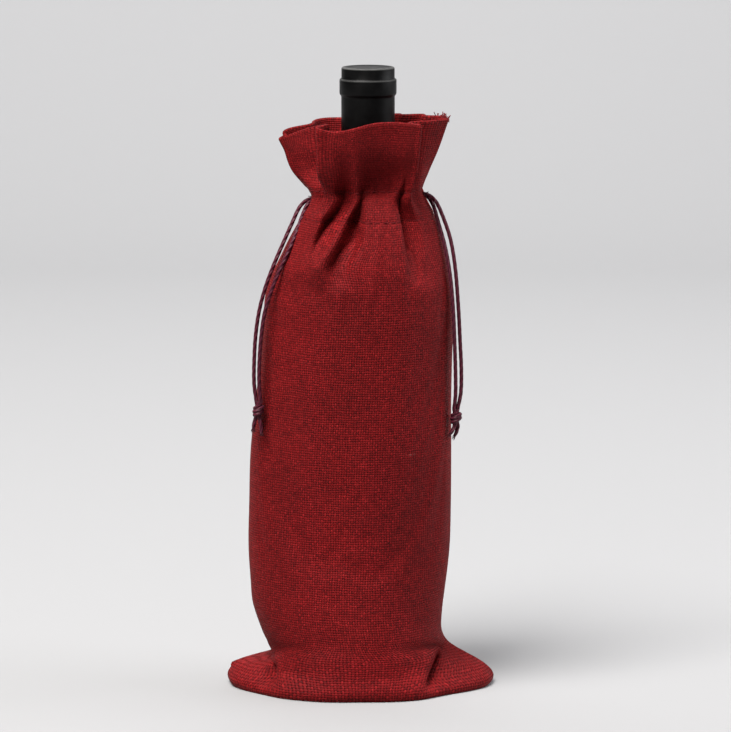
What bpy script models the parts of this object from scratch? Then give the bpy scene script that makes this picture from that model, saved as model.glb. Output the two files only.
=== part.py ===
"""Wine gift bag: a drawstring cloth bag, gathered at its neck, standing around a wine bottle.

Metres, +Z up. The origin is on the bottle's axis, on the surface that the bag stands on.
The front of the bag faces -Y, and its side seams run up the left (-X) and right (+X) edges.
"""
import math

import bmesh
import bpy
from mathutils import Matrix, Vector

# ---------------------------------------------------------------- driving dimensions
GAP = 0.0003                # clearance kept between neighbouring pieces
CLOTH = 0.0009              # one layer of the coarse woven cloth
FACING = 0.0008             # the turned-in layer of the top hem
SEAM_ALLOWANCE = 0.0008     # the pressed seam allowance inside each side seam
THREAD_RADIUS = 0.00035     # sewing thread

SPLIT_HEIGHT = 0.205        # the gathered neck starts here, at the bottle's shoulder
CASING_HEIGHT = 0.2563      # middle of the cord casing
CASING_TOP_STITCH = 0.2605
CASING_BOTTOM_STITCH = 0.2460
HEM_EDGE = 0.2435           # lower edge of the turned-in hem, inside the neck
RIM_HEIGHT = 0.295          # folded top edge of the ruffle
PLEATS = 10                 # folds round the gathered neck
PLEAT_DEPTH = 0.0020        # how far each fold stands proud of, or dips below, the mean ring
PLEAT_START = 0.228         # the folds run out at this height, above the shoulder
PLEAT_FADE = 0.35           # they fade out within this sine of the turn from a side seam

CORD_RADIUS = 0.0010
RIGHT_CORD_HEIGHT = CASING_HEIGHT + 0.0014    # the cord that is pulled from the right
LEFT_CORD_HEIGHT = CASING_HEIGHT - 0.0014     # the cord that is pulled from the left
CORD_RING = (0.0240, 0.0236, 0.0171)          # left, right and front/back reach in the casing
EXIT_SLOT_HALF_WIDTH = 0.0030                 # opening left in each side seam for the cords
STITCH_ROW_END = 0.009      # the casing's stitch rows stop this far from the side seams
KNOT_HALF_WIDTH = 0.0031
KNOT_HALF_HEIGHT = 0.0042

BOTTLE_RADIUS = 0.0363
BOTTLE_NECK_RADIUS = 0.0132
BOTTLE_RING_RADIUS = 0.0141
BOTTLE_LIP_RADIUS = 0.0131
BOTTLE_BASE = 0.0023        # the bottle stands on the folded bottom seam
BOTTLE_TOP = 0.3224         # rim of the glass
RING_BOTTOM = 0.3087
RING_TOP = 0.3173
SHOULDER_HEIGHT = 0.205
SHOULDER_RADIUS = 0.028
SHOULDER_DEGREES = (20, 40, 55, 66)           # facet edges round the shoulder
SHOULDER_BLEND = (0.35, 0.7, 1.0)             # shares of the sweep from there to the neck
NECK_BLEND_HEIGHT = 0.240   # the shoulder has run out into the neck here
GLASS = 0.0032
BORE_RADIUS = 0.0093
CORK_RADIUS = 0.0090
CORK_LENGTH = 0.044
WINE_LEVEL = 0.268
CAPSULE_WALL = 0.0003
CAPSULE_BOTTOM = 0.265
CAPSULE_TOP = 0.3234
CAPSULE_DISC_RADIUS = 0.0112

SEAM_STRIP_HALF_WIDTH = 0.005
SEAM_STRIP_THICKNESS = 0.0020
BOTTOM_THREAD_ENDS = (-0.055, 0.045)
BOTTOM_THREAD_STEPS = 10

# Plan outline of the bag at each height: (height, left, right, front and back reach,
# left power, right power). A power of 2 is an ellipse; less than 2 is more pointed.
BODY_SECTIONS = (
    (0.0000, 0.0715, 0.0640, 0.0415, 2.1, 1.5),
    (0.0030, 0.0735, 0.0658, 0.0425, 2.1, 1.5),
    (0.0090, 0.0700, 0.0610, 0.0420, 2.0, 1.5),
    (0.0140, 0.0585, 0.0530, 0.0405, 1.9, 1.6),
    (0.0190, 0.0510, 0.0450, 0.0395, 2.0, 1.8),
    (0.0250, 0.0515, 0.0388, 0.0388, 2.0, 2.0),
    (0.0440, 0.0585, 0.0392, 0.0385, 2.0, 2.0),
    (0.0600, 0.0612, 0.0412, 0.0385, 2.0, 2.0),
    (0.0800, 0.0620, 0.0426, 0.0385, 2.0, 2.0),
    (0.1250, 0.0610, 0.0431, 0.0385, 2.0, 2.0),
    (0.1500, 0.0582, 0.0431, 0.0385, 2.0, 2.0),
    (0.1780, 0.0553, 0.0436, 0.0385, 2.0, 2.0),
    (SPLIT_HEIGHT, 0.0533, 0.0438, 0.0388, 2.0, 2.0),
)
NECK_SECTIONS = (
    (SPLIT_HEIGHT + GAP, 0.0533, 0.0438, 0.0388, 2.0, 2.0),
    (0.2120, 0.0514, 0.0428, 0.0384, 2.0, 2.0),
    (0.2200, 0.0478, 0.0408, 0.0370, 2.0, 2.0),
    (0.2280, 0.0438, 0.0388, 0.0345, 2.0, 2.0),
    (0.2370, 0.0386, 0.0362, 0.0305, 2.0, 2.0),
    (CASING_BOTTOM_STITCH, 0.0330, 0.0333, 0.0260, 2.0, 2.0),
    (0.2515, 0.0292, 0.0306, 0.0227, 2.0, 2.0),
    (CASING_HEIGHT, 0.0285, 0.0285, 0.0214, 2.0, 2.0),
    (CASING_TOP_STITCH, 0.0315, 0.0280, 0.0222, 2.0, 2.0),
    (0.2670, 0.0380, 0.0298, 0.0243, 2.0, 2.0),
    (0.2750, 0.0408, 0.0333, 0.0262, 2.0, 2.0),
    (0.2850, 0.0450, 0.0376, 0.0277, 2.0, 2.0),
    (RIM_HEIGHT, 0.0472, 0.0412, 0.0285, 2.0, 2.0),
)

# Cord tails: points that each strand passes through, from the casing slot to its knot.
RIGHT_OUTER_ROUTE = (
    (0.0252, -0.0013, 0.2577), (0.0304, -0.0014, 0.2576), (0.0350, -0.0030, 0.2540),
    (0.0388, -0.0052, 0.2460), (0.0425, -0.0080, 0.2350), (0.0450, -0.0100, 0.2200),
    (0.0466, -0.0115, 0.2000), (0.0475, -0.0120, 0.1830), (0.0482, -0.0122, 0.1680),
    (0.0480, -0.0123, 0.1560), (0.0464, -0.0124, 0.1475),
)
RIGHT_INNER_ROUTE = (
    (0.0252, 0.0013, 0.2577), (0.0300, 0.0012, 0.2568), (0.0336, -0.0008, 0.2520),
    (0.0364, -0.0050, 0.2430), (0.0398, -0.0098, 0.2310), (0.0424, -0.0130, 0.2160),
    (0.0439, -0.0145, 0.1990), (0.0447, -0.0148, 0.1810), (0.0452, -0.0146, 0.1650),
    (0.0452, -0.0142, 0.1550), (0.0445, -0.0136, 0.1475),
)
LEFT_OUTER_ROUTE = (
    (-0.0252, 0.0013, 0.2549), (-0.0306, 0.0008, 0.2548), (-0.0352, -0.0022, 0.2512),
    (-0.0394, -0.0068, 0.2428), (-0.0438, -0.0104, 0.2332), (-0.0485, -0.0133, 0.2225),
    (-0.0528, -0.0148, 0.2110), (-0.0560, -0.0156, 0.1990), (-0.0579, -0.0163, 0.1860),
    (-0.0587, -0.0170, 0.1720), (-0.0587, -0.0176, 0.1610), (-0.0576, -0.0180, 0.1522),
)
LEFT_INNER_ROUTE = (
    (-0.0252, -0.0013, 0.2549), (-0.0306, -0.0018, 0.2532), (-0.0338, -0.0052, 0.2472),
    (-0.0365, -0.0110, 0.2400), (-0.0400, -0.0154, 0.2320), (-0.0446, -0.0178, 0.2220),
    (-0.0492, -0.0185, 0.2110), (-0.0530, -0.0188, 0.1990), (-0.0550, -0.0190, 0.1860),
    (-0.0560, -0.0190, 0.1720), (-0.0561, -0.0190, 0.1610), (-0.0554, -0.0190, 0.1522),
)
RIGHT_KNOT = (0.0455, -0.0127, 0.1428)
LEFT_KNOT = (-0.0566, -0.0184, 0.1475)
RIGHT_END_ROUTES = {
    "right_cord_front_cut_end": ((0.0446, -0.0136, 0.1381), (0.0436, -0.0144, 0.1360),
                                 (0.0424, -0.0150, 0.1344)),
    "right_cord_rear_cut_end": ((0.0466, -0.0118, 0.1381), (0.0458, -0.0116, 0.1350),
                                (0.0446, -0.0116, 0.1326)),
}
LEFT_END_ROUTES = {
    "left_cord_front_cut_end": ((-0.0558, -0.0192, 0.1428), (-0.0552, -0.0198, 0.1392),
                                (-0.0550, -0.0202, 0.1360)),
    "left_cord_rear_cut_end": ((-0.0582, -0.0180, 0.1428), (-0.0590, -0.0178, 0.1398),
                               (-0.0592, -0.0178, 0.1375)),
}

BODY_COLUMNS = 20           # facets from one side seam to the other
NECK_COLUMNS = 28
SEAM_COLUMNS = 3
TURNED_SIDES = 24
CORD_POINT_SPACING = 2.5    # spacing of a cord's path points, in cord diameters
CASING_RUN_STEPS = 18
SEAM_START_TURN = 0.03      # where the pressed seam allowance starts, round from the seam
SEAM_TURN_WIDTH = 0.20
FLOOR_SHRINK = 0.965        # the bottom seam stops this far short of the ear tips


# ---------------------------------------------------------------- scene and materials
def clear_scene():
    for old in list(bpy.data.objects):
        bpy.data.objects.remove(old, do_unlink=True)


def make_material(name, colour, roughness, metallic=0.0):
    material = bpy.data.materials.new(name)
    material.use_nodes = True
    shader = material.node_tree.nodes["Principled BSDF"]
    shader.inputs["Base Color"].default_value = (*colour, 1.0)
    shader.inputs["Roughness"].default_value = roughness
    shader.inputs["Metallic"].default_value = metallic
    material.diffuse_color = (*colour, 1.0)
    return material


def make_group(name, location):
    group = bpy.data.objects.new(name, None)
    group.location = location
    group.empty_display_size = 0.02
    bpy.context.scene.collection.objects.link(group)
    return group


def add_object(name, data, colour_material, group):
    piece = bpy.data.objects.new(name, data)
    piece.data.materials.append(colour_material)
    bpy.context.scene.collection.objects.link(piece)
    piece.parent = group
    piece.matrix_parent_inverse = Matrix.Translation(-group.location)
    return piece


def add_mesh(name, points, faces, colour_material, group):
    mesh = bpy.data.meshes.new(name)
    mesh.from_pydata([tuple(p) for p in points], [], faces)
    shape = bmesh.new()
    shape.from_mesh(mesh)
    bmesh.ops.recalc_face_normals(shape, faces=shape.faces)
    shape.to_mesh(mesh)
    shape.free()
    mesh.shade_smooth()
    mesh.set_sharp_from_angle(angle=math.radians(40))
    return add_object(name, mesh, colour_material, group)


# ---------------------------------------------------------------- cloth
def signed_power(value, power):
    return math.copysign(abs(value) ** (2.0 / power), value)


def outline_point(section, turn, inset, proud=0.0):
    """A point of the front half of a plan outline. turn runs from 0 at the left side seam
    through the front to pi at the right one; inset moves inwards and proud outwards."""
    height, left, right, depth, left_power, right_power = section
    on_left = turn < math.pi / 2
    reach = (left if on_left else right) - inset + proud
    power = left_power if on_left else right_power
    x = -reach * signed_power(math.cos(turn), power)
    y = -(depth - inset + proud) * signed_power(math.sin(turn), power)
    return Vector((x, y, height))


def section_at(sections, height):
    """The plan outline at any height, straight between the listed ones."""
    for low, high in zip(sections, sections[1:]):
        if height <= high[0]:
            share = (height - low[0]) / (high[0] - low[0])
            return tuple(a + (b - a) * share for a, b in zip(low, high))
    return sections[-1]


def pleat(turn, height):
    """How far the cloth stands proud of the mean outline: none at the shoulder, all of
    PLEAT_DEPTH from the casing upwards, and none along the side seams."""
    growth = min(max((height - PLEAT_START) / (CASING_HEIGHT - PLEAT_START), 0.0), 1.0)
    fade = min(math.sin(turn) / PLEAT_FADE, 1.0)
    return PLEAT_DEPTH * growth * fade * math.cos(PLEATS * turn)


def seam_turn(section, half_gap):
    """The turn at which the outline is half_gap away from the side seam's plane."""
    return math.asin(min((half_gap / section[3]) ** (section[4] / 2.0), 1.0))


def grid_solid(name, outer, inner, colour_material, group):
    """A closed sheet between two equal grids of points, stitched round its border."""
    rows = len(outer)
    columns = len(outer[0])
    points = [p for row in outer for p in row] + [p for row in inner for p in row]
    shift = rows * columns
    faces = []
    for r in range(rows - 1):
        for c in range(columns - 1):
            quad = (r * columns + c, r * columns + c + 1,
                    (r + 1) * columns + c + 1, (r + 1) * columns + c)
            faces.append(quad)
            faces.append(tuple(shift + i for i in reversed(quad)))
    border = [c for c in range(columns)]
    border += [r * columns + columns - 1 for r in range(1, rows)]
    border += [(rows - 1) * columns + c for c in range(columns - 2, -1, -1)]
    border += [r * columns for r in range(rows - 2, 0, -1)]
    for here, there in zip(border, border[1:] + border[:1]):
        faces.append((there, here, shift + here, shift + there))
    return add_mesh(name, points, faces, colour_material, group)


def mirrored(grid, side):
    """The front half's points, or with side -1 the same half turned to the back."""
    return [[Vector((p.x, side * p.y, p.z)) for p in row] for row in grid]


def half_outline(section, columns, inset, half_gap, pleated, lift=0.0):
    start = seam_turn(section, half_gap)
    row = []
    for i in range(columns + 1):
        turn = start + (math.pi - 2 * start) * i / columns
        proud = pleat(turn, section[0]) if pleated else 0.0
        point = outline_point(section, turn, inset, proud)
        point.z += lift
        row.append(point)
    return row


def floor_row(inset, height):
    """The edge of a body cloth beside the bottom seam, drawn in towards the ear tips."""
    row = []
    for p in half_outline(BODY_SECTIONS[0], BODY_COLUMNS, inset, GAP / 2, False):
        y = max(min(SEAM_STRIP_HALF_WIDTH + GAP, 0.6 * abs(p.y)), GAP / 2)
        row.append(Vector((FLOOR_SHRINK * p.x, -y, height)))
    return row


def body_cloth(name, side, colour_material, group):
    """One lower half of the bag, from the bottom seam up to the bottle's shoulder."""
    outer = [floor_row(0.0, 0.0)]
    inner = [floor_row(0.0, CLOTH)]
    for section in BODY_SECTIONS:
        lift = CLOTH if section[0] == 0.0 else 0.0
        outer.append(half_outline(section, BODY_COLUMNS, 0.0, GAP / 2, False))
        inner.append(half_outline(section, BODY_COLUMNS, CLOTH, GAP / 2, False, lift))
    return grid_solid(name, mirrored(outer, side), mirrored(inner, side),
                      colour_material, group)


def neck_half_gap(height):
    in_casing = CASING_BOTTOM_STITCH < height <= CASING_TOP_STITCH
    return EXIT_SLOT_HALF_WIDTH if in_casing else GAP / 2


def neck_row(section, inset, lift=0.0):
    half_gap = neck_half_gap(section[0])
    return half_outline(section, NECK_COLUMNS, inset, half_gap, True, lift)


def facing_row(height, thickness):
    """The turned-in hem: close inside the outer layer, but behind the cords in the casing."""
    section = section_at(NECK_SECTIONS, height)
    if CASING_BOTTOM_STITCH < height <= CASING_TOP_STITCH:
        left, right, depth = (reach - CORD_RADIUS - GAP for reach in CORD_RING)
        ring = (height, left, right, depth, 2.0, 2.0)
        return half_outline(ring, NECK_COLUMNS, thickness, EXIT_SLOT_HALF_WIDTH, False)
    return neck_row(section, CLOTH + GAP + thickness)


def neck_cloth(name, side, colour_material, group):
    """One half of the gathered neck: up the outside, over the rim and down inside it."""
    outer = [neck_row(section, 0.0) for section in NECK_SECTIONS]
    inner = [neck_row(section, CLOTH) for section in NECK_SECTIONS[:-1]]
    inner.append(neck_row(NECK_SECTIONS[-1], CLOTH, -CLOTH))
    outer.append(neck_row(NECK_SECTIONS[-1], CLOTH + GAP + FACING))
    inner.append(neck_row(NECK_SECTIONS[-1], CLOTH + GAP, -CLOTH))
    for height in (0.2850, 0.2750, 0.2670, CASING_TOP_STITCH, 0.2515, HEM_EDGE):
        outer.append(facing_row(height, FACING))
        inner.append(facing_row(height, 0.0))
    return grid_solid(name, mirrored(outer, side), mirrored(inner, side),
                      colour_material, group)


def bottom_seam(name, colour_material, group):
    """The folded seam allowance under the bottle, which fills the gap between the cloths."""
    edge = floor_row(0.0, 0.0)[1:-1]
    top = Vector((0.0, 0.0, SEAM_STRIP_THICKNESS))
    front = [Vector((p.x, p.y + GAP, 0.0)) for p in edge]
    back = [Vector((p.x, -p.y, 0.0)) for p in front]
    upper = [[p + top for p in front], [p + top for p in back]]
    return grid_solid(name, [front, back], upper, colour_material, group)


def side_seam(name, on_right, lowest, colour_material, group):
    """The seam allowance, pressed against the inside of the back cloth."""
    outer = []
    inner = []
    heights = [lowest] + [s[0] for s in BODY_SECTIONS if s[0] > lowest + GAP][:-1]
    for height in heights + [SPLIT_HEIGHT - GAP]:
        section = section_at(BODY_SECTIONS, height)
        for rows, depth in ((outer, CLOTH + GAP), (inner, CLOTH + GAP + SEAM_ALLOWANCE)):
            row = []
            for i in range(SEAM_COLUMNS + 1):
                turn = SEAM_START_TURN + SEAM_TURN_WIDTH * i / SEAM_COLUMNS
                row.append(outline_point(section, math.pi - turn if on_right else turn, depth))
            rows.append(row)
    return grid_solid(name, mirrored(outer, -1), mirrored(inner, -1), colour_material, group)


# ---------------------------------------------------------------- threads and cords
def smooth_points(route, spacing):
    """Points about spacing apart on a Catmull-Rom curve through the route's points."""
    route = [Vector(p) for p in route]
    ends = [2 * route[0] - route[1]] + route + [2 * route[-1] - route[-2]]
    points = []
    for a, b, c, d in zip(ends, ends[1:], ends[2:], ends[3:]):
        steps = max(1, round((c - b).length / spacing))
        for i in range(steps):
            t = i / steps
            points.append(0.5 * (2 * b + (c - a) * t + (2 * a - 5 * b + 4 * c - d) * t ** 2
                                 + (3 * b - 3 * c + d - a) * t ** 3))
    return points + [route[-1]]


def tube(name, points, radius, resolution, colour_material, group):
    curve = bpy.data.curves.new(name, "CURVE")
    curve.dimensions = "3D"
    curve.bevel_depth = radius
    curve.bevel_resolution = resolution
    curve.use_fill_caps = True
    spline = curve.splines.new("POLY")
    spline.points.add(len(points) - 1)
    for slot, point in zip(spline.points, points):
        slot.co = (*point, 1.0)
    return add_object(name, curve, colour_material, group)


def cord(name, route, colour_material, group):
    points = smooth_points(route, CORD_RADIUS * 2 * CORD_POINT_SPACING)
    return tube(name, points, CORD_RADIUS, 2, colour_material, group)


def casing_run(name, height, side, exit_on_right, colour_material, group):
    """A cord's half turn round the neck, inside the casing. It stops short of its own
    exit slot, and meets its other half behind the opposite seam."""
    left, right, depth = CORD_RING
    ring = (height, left, right, depth, 2.0, 2.0)
    at_exit = seam_turn(ring, EXIT_SLOT_HALF_WIDTH + GAP)
    at_joint = seam_turn(ring, GAP / 2)
    first = at_joint if exit_on_right else at_exit
    last = math.pi - (at_exit if exit_on_right else at_joint)
    turns = [first + (last - first) * i / CASING_RUN_STEPS for i in range(CASING_RUN_STEPS + 1)]
    points = mirrored([[outline_point(ring, t, 0.0) for t in turns]], side)[0]
    return tube(name, points, CORD_RADIUS, 2, colour_material, group)


def stitch_row(name, height, side, colour_material, group):
    """A row of stitches on the outside of the casing, following the pleats."""
    section = section_at(NECK_SECTIONS, height)
    edge = seam_turn(section, STITCH_ROW_END)
    proud = GAP + THREAD_RADIUS * math.sqrt(2)
    steps = NECK_COLUMNS
    turns = [edge + (math.pi - 2 * edge) * i / steps for i in range(steps + 1)]
    points = [outline_point(section, t, 0.0, pleat(t, height) + proud) for t in turns]
    return tube(name, mirrored([points], side)[0], THREAD_RADIUS, 0, colour_material, group)


def seam_thread(name, on_right, lowest, colour_material, group):
    """The stitching up a side seam, on the inner face of its seam allowance."""
    depth = CLOTH + 2 * GAP + SEAM_ALLOWANCE + THREAD_RADIUS
    turn = SEAM_START_TURN + SEAM_TURN_WIDTH / 2
    turn = math.pi - turn if on_right else turn
    heights = [lowest + GAP] + [s[0] for s in BODY_SECTIONS if s[0] > lowest + GAP][:-1]
    points = []
    for height in heights + [SPLIT_HEIGHT - 2 * GAP]:
        point = outline_point(section_at(BODY_SECTIONS, height), turn, depth)
        points.append(Vector((point.x, -point.y, height)))
    return tube(name, points, THREAD_RADIUS, 0, colour_material, group)


def bottom_seam_thread(name, colour_material, group):
    """The stitching of the bottom seam, along the back edge of its allowance."""
    y = SEAM_STRIP_HALF_WIDTH + GAP + THREAD_RADIUS
    z = CLOTH + GAP + THREAD_RADIUS
    left, right = BOTTOM_THREAD_ENDS
    shares = [i / BOTTOM_THREAD_STEPS for i in range(BOTTOM_THREAD_STEPS + 1)]
    points = [Vector((left + (right - left) * share, y, z)) for share in shares]
    return tube(name, points, THREAD_RADIUS, 0, colour_material, group)


def knot(name, centre, colour_material, group):
    shape = bmesh.new()
    bmesh.ops.create_uvsphere(shape, u_segments=12, v_segments=8, radius=1.0)
    size = Vector((KNOT_HALF_WIDTH, 0.9 * KNOT_HALF_WIDTH, KNOT_HALF_HEIGHT))
    for vertex in shape.verts:
        vertex.co = Vector(centre) + vertex.co * size
    mesh = bpy.data.meshes.new(name)
    shape.to_mesh(mesh)
    shape.free()
    mesh.shade_smooth()
    return add_object(name, mesh, colour_material, group)


# ---------------------------------------------------------------- bottle
def turned(name, profile, colour_material, group):
    """A solid of revolution. The profile is a closed loop of (radius, height); where it
    starts and ends on the axis the loop closes there with a pole."""
    points = []
    rings = []
    for radius, height in profile:
        if radius == 0.0:
            rings.append([len(points)])
            points.append((0.0, 0.0, height))
            continue
        rings.append(list(range(len(points), len(points) + TURNED_SIDES)))
        for i in range(TURNED_SIDES):
            angle = 2 * math.pi * i / TURNED_SIDES
            points.append((radius * math.cos(angle), radius * math.sin(angle), height))
    faces = []
    closed = rings + rings[:1] if len(rings[0]) > 1 else rings
    for low, high in zip(closed, closed[1:]):
        for i in range(TURNED_SIDES):
            j = (i + 1) % TURNED_SIDES
            corners = [low[i % len(low)], low[j % len(low)],
                       high[j % len(high)], high[i % len(high)]]
            faces.append(tuple(dict.fromkeys(corners)))
    return add_mesh(name, points, faces, colour_material, group)


def shoulder(inset):
    """The body's wall, the round shoulder and the sweep into the neck, moved in by inset."""
    centre = BOTTLE_RADIUS - SHOULDER_RADIUS
    neck = BOTTLE_NECK_RADIUS - inset
    curve = [(BOTTLE_RADIUS - inset, SHOULDER_HEIGHT)]
    for degrees in SHOULDER_DEGREES:
        angle = math.radians(degrees)
        radius = centre + (SHOULDER_RADIUS - inset) * math.cos(angle)
        height = SHOULDER_HEIGHT + (SHOULDER_RADIUS - inset) * math.sin(angle)
        curve.append((radius, height))
    last_radius, last_height = curve[-1]
    for share in SHOULDER_BLEND:
        ease = 1 - (1 - share) ** 2
        radius = last_radius + (neck - last_radius) * ease
        curve.append((radius, last_height + (NECK_BLEND_HEIGHT - last_height) * share))
    return curve


def base_profile(inset):
    """The pushed-up base and the rounded heel, moved in by inset."""
    top = BOTTLE_BASE + inset
    foot = BOTTLE_RADIUS - 0.007
    return [(0.0, top + 0.014), (0.010, top + 0.012), (0.020, top + 0.004),
            (foot - inset / 2, top), (BOTTLE_RADIUS - inset - 0.002, top + 0.0015),
            (BOTTLE_RADIUS - inset, top + 0.006)]


def bottle_glass(name, colour_material, group):
    outside = base_profile(0.0) + shoulder(0.0)
    outside += [(BOTTLE_NECK_RADIUS, RING_BOTTOM), (BOTTLE_RING_RADIUS, RING_BOTTOM + 0.0008),
                (BOTTLE_RING_RADIUS, RING_TOP - 0.0006), (BOTTLE_LIP_RADIUS, RING_TOP),
                (BOTTLE_LIP_RADIUS, BOTTLE_TOP - 0.0012),
                (BOTTLE_LIP_RADIUS - 0.0010, BOTTLE_TOP)]
    inside = base_profile(GLASS) + shoulder(GLASS)
    inside += [(BORE_RADIUS, BOTTLE_TOP - CORK_LENGTH), (BORE_RADIUS, BOTTLE_TOP)]
    return turned(name, outside + inside[::-1], colour_material, group)


def wine(name, colour_material, group):
    profile = base_profile(GLASS + GAP) + shoulder(GLASS + GAP)
    profile += [(BORE_RADIUS - GAP, WINE_LEVEL), (0.0, WINE_LEVEL)]
    return turned(name, profile, colour_material, group)


def cork(name, colour_material, group):
    chamfer = 0.0006
    low = BOTTLE_TOP - CORK_LENGTH
    high = BOTTLE_TOP - GAP
    profile = [(0.0, low), (CORK_RADIUS - chamfer, low), (CORK_RADIUS, low + chamfer),
               (CORK_RADIUS, high - chamfer), (CORK_RADIUS - chamfer, high), (0.0, high)]
    return turned(name, profile, colour_material, group)


def capsule(name, colour_material, group):
    """The foil skirt over the neck, the glass ring and the lip, turned in round its disc."""
    outside = [(BOTTLE_NECK_RADIUS, CAPSULE_BOTTOM), (BOTTLE_NECK_RADIUS, RING_BOTTOM - GAP),
               (BOTTLE_RING_RADIUS, RING_BOTTOM + 0.0003),
               (BOTTLE_RING_RADIUS, RING_TOP + 0.0002), (BOTTLE_LIP_RADIUS, RING_TOP + 0.0008),
               (BOTTLE_LIP_RADIUS, BOTTLE_TOP - 0.0006)]
    skin = GAP + CAPSULE_WALL
    profile = [(radius + skin, height) for radius, height in outside]
    profile += [(BOTTLE_LIP_RADIUS - 0.0004, CAPSULE_TOP),
                (CAPSULE_DISC_RADIUS + GAP, CAPSULE_TOP),
                (CAPSULE_DISC_RADIUS + GAP, CAPSULE_TOP - CAPSULE_WALL),
                (BOTTLE_LIP_RADIUS - 0.0006, CAPSULE_TOP - CAPSULE_WALL)]
    profile += [(radius + GAP, height) for radius, height in outside[::-1]]
    return turned(name, profile, colour_material, group)


def capsule_disc(name, colour_material, group):
    low = CAPSULE_TOP - 2 * CAPSULE_WALL
    profile = [(0.0, low), (CAPSULE_DISC_RADIUS, low), (CAPSULE_DISC_RADIUS, low + CAPSULE_WALL),
               (0.0, low + CAPSULE_WALL)]
    return turned(name, profile, colour_material, group)


# ---------------------------------------------------------------- assembly
def build():
    clear_scene()
    red_cloth = make_material("red_woven_cloth", (0.42, 0.025, 0.045), 0.75)
    red_thread = make_material("red_sewing_thread", (0.35, 0.02, 0.04), 0.6)
    cord_material = make_material("burgundy_cord", (0.11, 0.012, 0.028), 0.45)
    glass_material = make_material("green_black_glass", (0.012, 0.02, 0.012), 0.08)
    wine_material = make_material("red_wine", (0.05, 0.002, 0.008), 0.1)
    cork_material = make_material("natural_cork", (0.50, 0.34, 0.20), 0.85)
    foil_material = make_material("matte_black_foil", (0.012, 0.012, 0.013), 0.5, 0.3)

    casing_centre = Vector((0.0, 0.0, CASING_HEIGHT))
    body_group = make_group("bag_body", Vector((0.0, 0.0, 0.0)))
    front_group = make_group("front_neck_slide", casing_centre)
    back_group = make_group("back_neck_slide", casing_centre)
    left_group = make_group("left_cord_slide", Vector(LEFT_KNOT))
    right_group = make_group("right_cord_slide", Vector(RIGHT_KNOT))
    bottle_group = make_group("bottle_slide", Vector((0.0, 0.0, BOTTLE_BASE)))

    body_cloth("front_body_cloth", 1, red_cloth, body_group)
    body_cloth("back_body_cloth", -1, red_cloth, body_group)
    bottom_seam("bottom_seam", red_cloth, body_group)
    bottom_seam_thread("bottom_seam_stitching", red_thread, body_group)
    for label, on_right, lowest in (("left", False, 0.022), ("right", True, 0.052)):
        side_seam(label + "_side_seam", on_right, lowest, red_cloth, body_group)
        seam_thread(label + "_side_seam_stitching", on_right, lowest, red_thread, body_group)

    for label, side, group in (("front", 1, front_group), ("back", -1, back_group)):
        neck_cloth(label + "_neck_cloth", side, red_cloth, group)
        stitch_row(label + "_casing_upper_stitching", CASING_TOP_STITCH, side,
                   red_thread, group)
        stitch_row(label + "_casing_lower_stitching", CASING_BOTTOM_STITCH, side,
                   red_thread, group)
        casing_run("right_cord_" + label + "_casing_run", RIGHT_CORD_HEIGHT, side, True,
                   cord_material, group)
        casing_run("left_cord_" + label + "_casing_run", LEFT_CORD_HEIGHT, side, False,
                   cord_material, group)

    cord("right_cord_outer_strand", RIGHT_OUTER_ROUTE, cord_material, right_group)
    cord("right_cord_inner_strand", RIGHT_INNER_ROUTE, cord_material, right_group)
    cord("left_cord_outer_strand", LEFT_OUTER_ROUTE, cord_material, left_group)
    cord("left_cord_inner_strand", LEFT_INNER_ROUTE, cord_material, left_group)
    knot("right_cord_knot", RIGHT_KNOT, cord_material, right_group)
    knot("left_cord_knot", LEFT_KNOT, cord_material, left_group)
    for name, route in RIGHT_END_ROUTES.items():
        cord(name, route, cord_material, right_group)
    for name, route in LEFT_END_ROUTES.items():
        cord(name, route, cord_material, left_group)

    bottle_glass("bottle_glass", glass_material, bottle_group)
    wine("wine", wine_material, bottle_group)
    cork("cork", cork_material, bottle_group)
    capsule("capsule_skirt", foil_material, bottle_group)
    capsule_disc("capsule_top_disc", foil_material, bottle_group)


build()
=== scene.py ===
"""Looks of the wine gift bag: one woven cloth folded, gathered and settled by simulation,
its stitches, drawcords and knots, the foil capsule of the bottle, and a plain studio."""
import math

import bpy
import numpy as np
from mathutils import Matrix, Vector


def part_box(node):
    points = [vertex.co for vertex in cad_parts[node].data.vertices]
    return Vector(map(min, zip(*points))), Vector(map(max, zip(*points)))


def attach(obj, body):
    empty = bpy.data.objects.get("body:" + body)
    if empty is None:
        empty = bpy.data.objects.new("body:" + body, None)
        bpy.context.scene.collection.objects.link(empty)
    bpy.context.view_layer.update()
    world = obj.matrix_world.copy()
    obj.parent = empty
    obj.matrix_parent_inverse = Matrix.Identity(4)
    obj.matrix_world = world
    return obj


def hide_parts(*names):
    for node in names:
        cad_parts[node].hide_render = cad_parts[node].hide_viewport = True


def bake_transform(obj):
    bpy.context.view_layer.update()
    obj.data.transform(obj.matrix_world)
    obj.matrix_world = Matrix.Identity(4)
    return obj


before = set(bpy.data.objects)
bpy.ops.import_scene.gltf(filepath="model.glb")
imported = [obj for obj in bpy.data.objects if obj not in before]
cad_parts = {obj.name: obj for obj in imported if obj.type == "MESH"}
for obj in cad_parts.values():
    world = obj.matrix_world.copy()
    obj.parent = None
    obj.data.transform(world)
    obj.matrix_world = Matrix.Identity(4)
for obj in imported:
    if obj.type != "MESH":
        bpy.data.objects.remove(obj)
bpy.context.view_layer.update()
MM = 0.001
random = np.random.default_rng(11)

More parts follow.
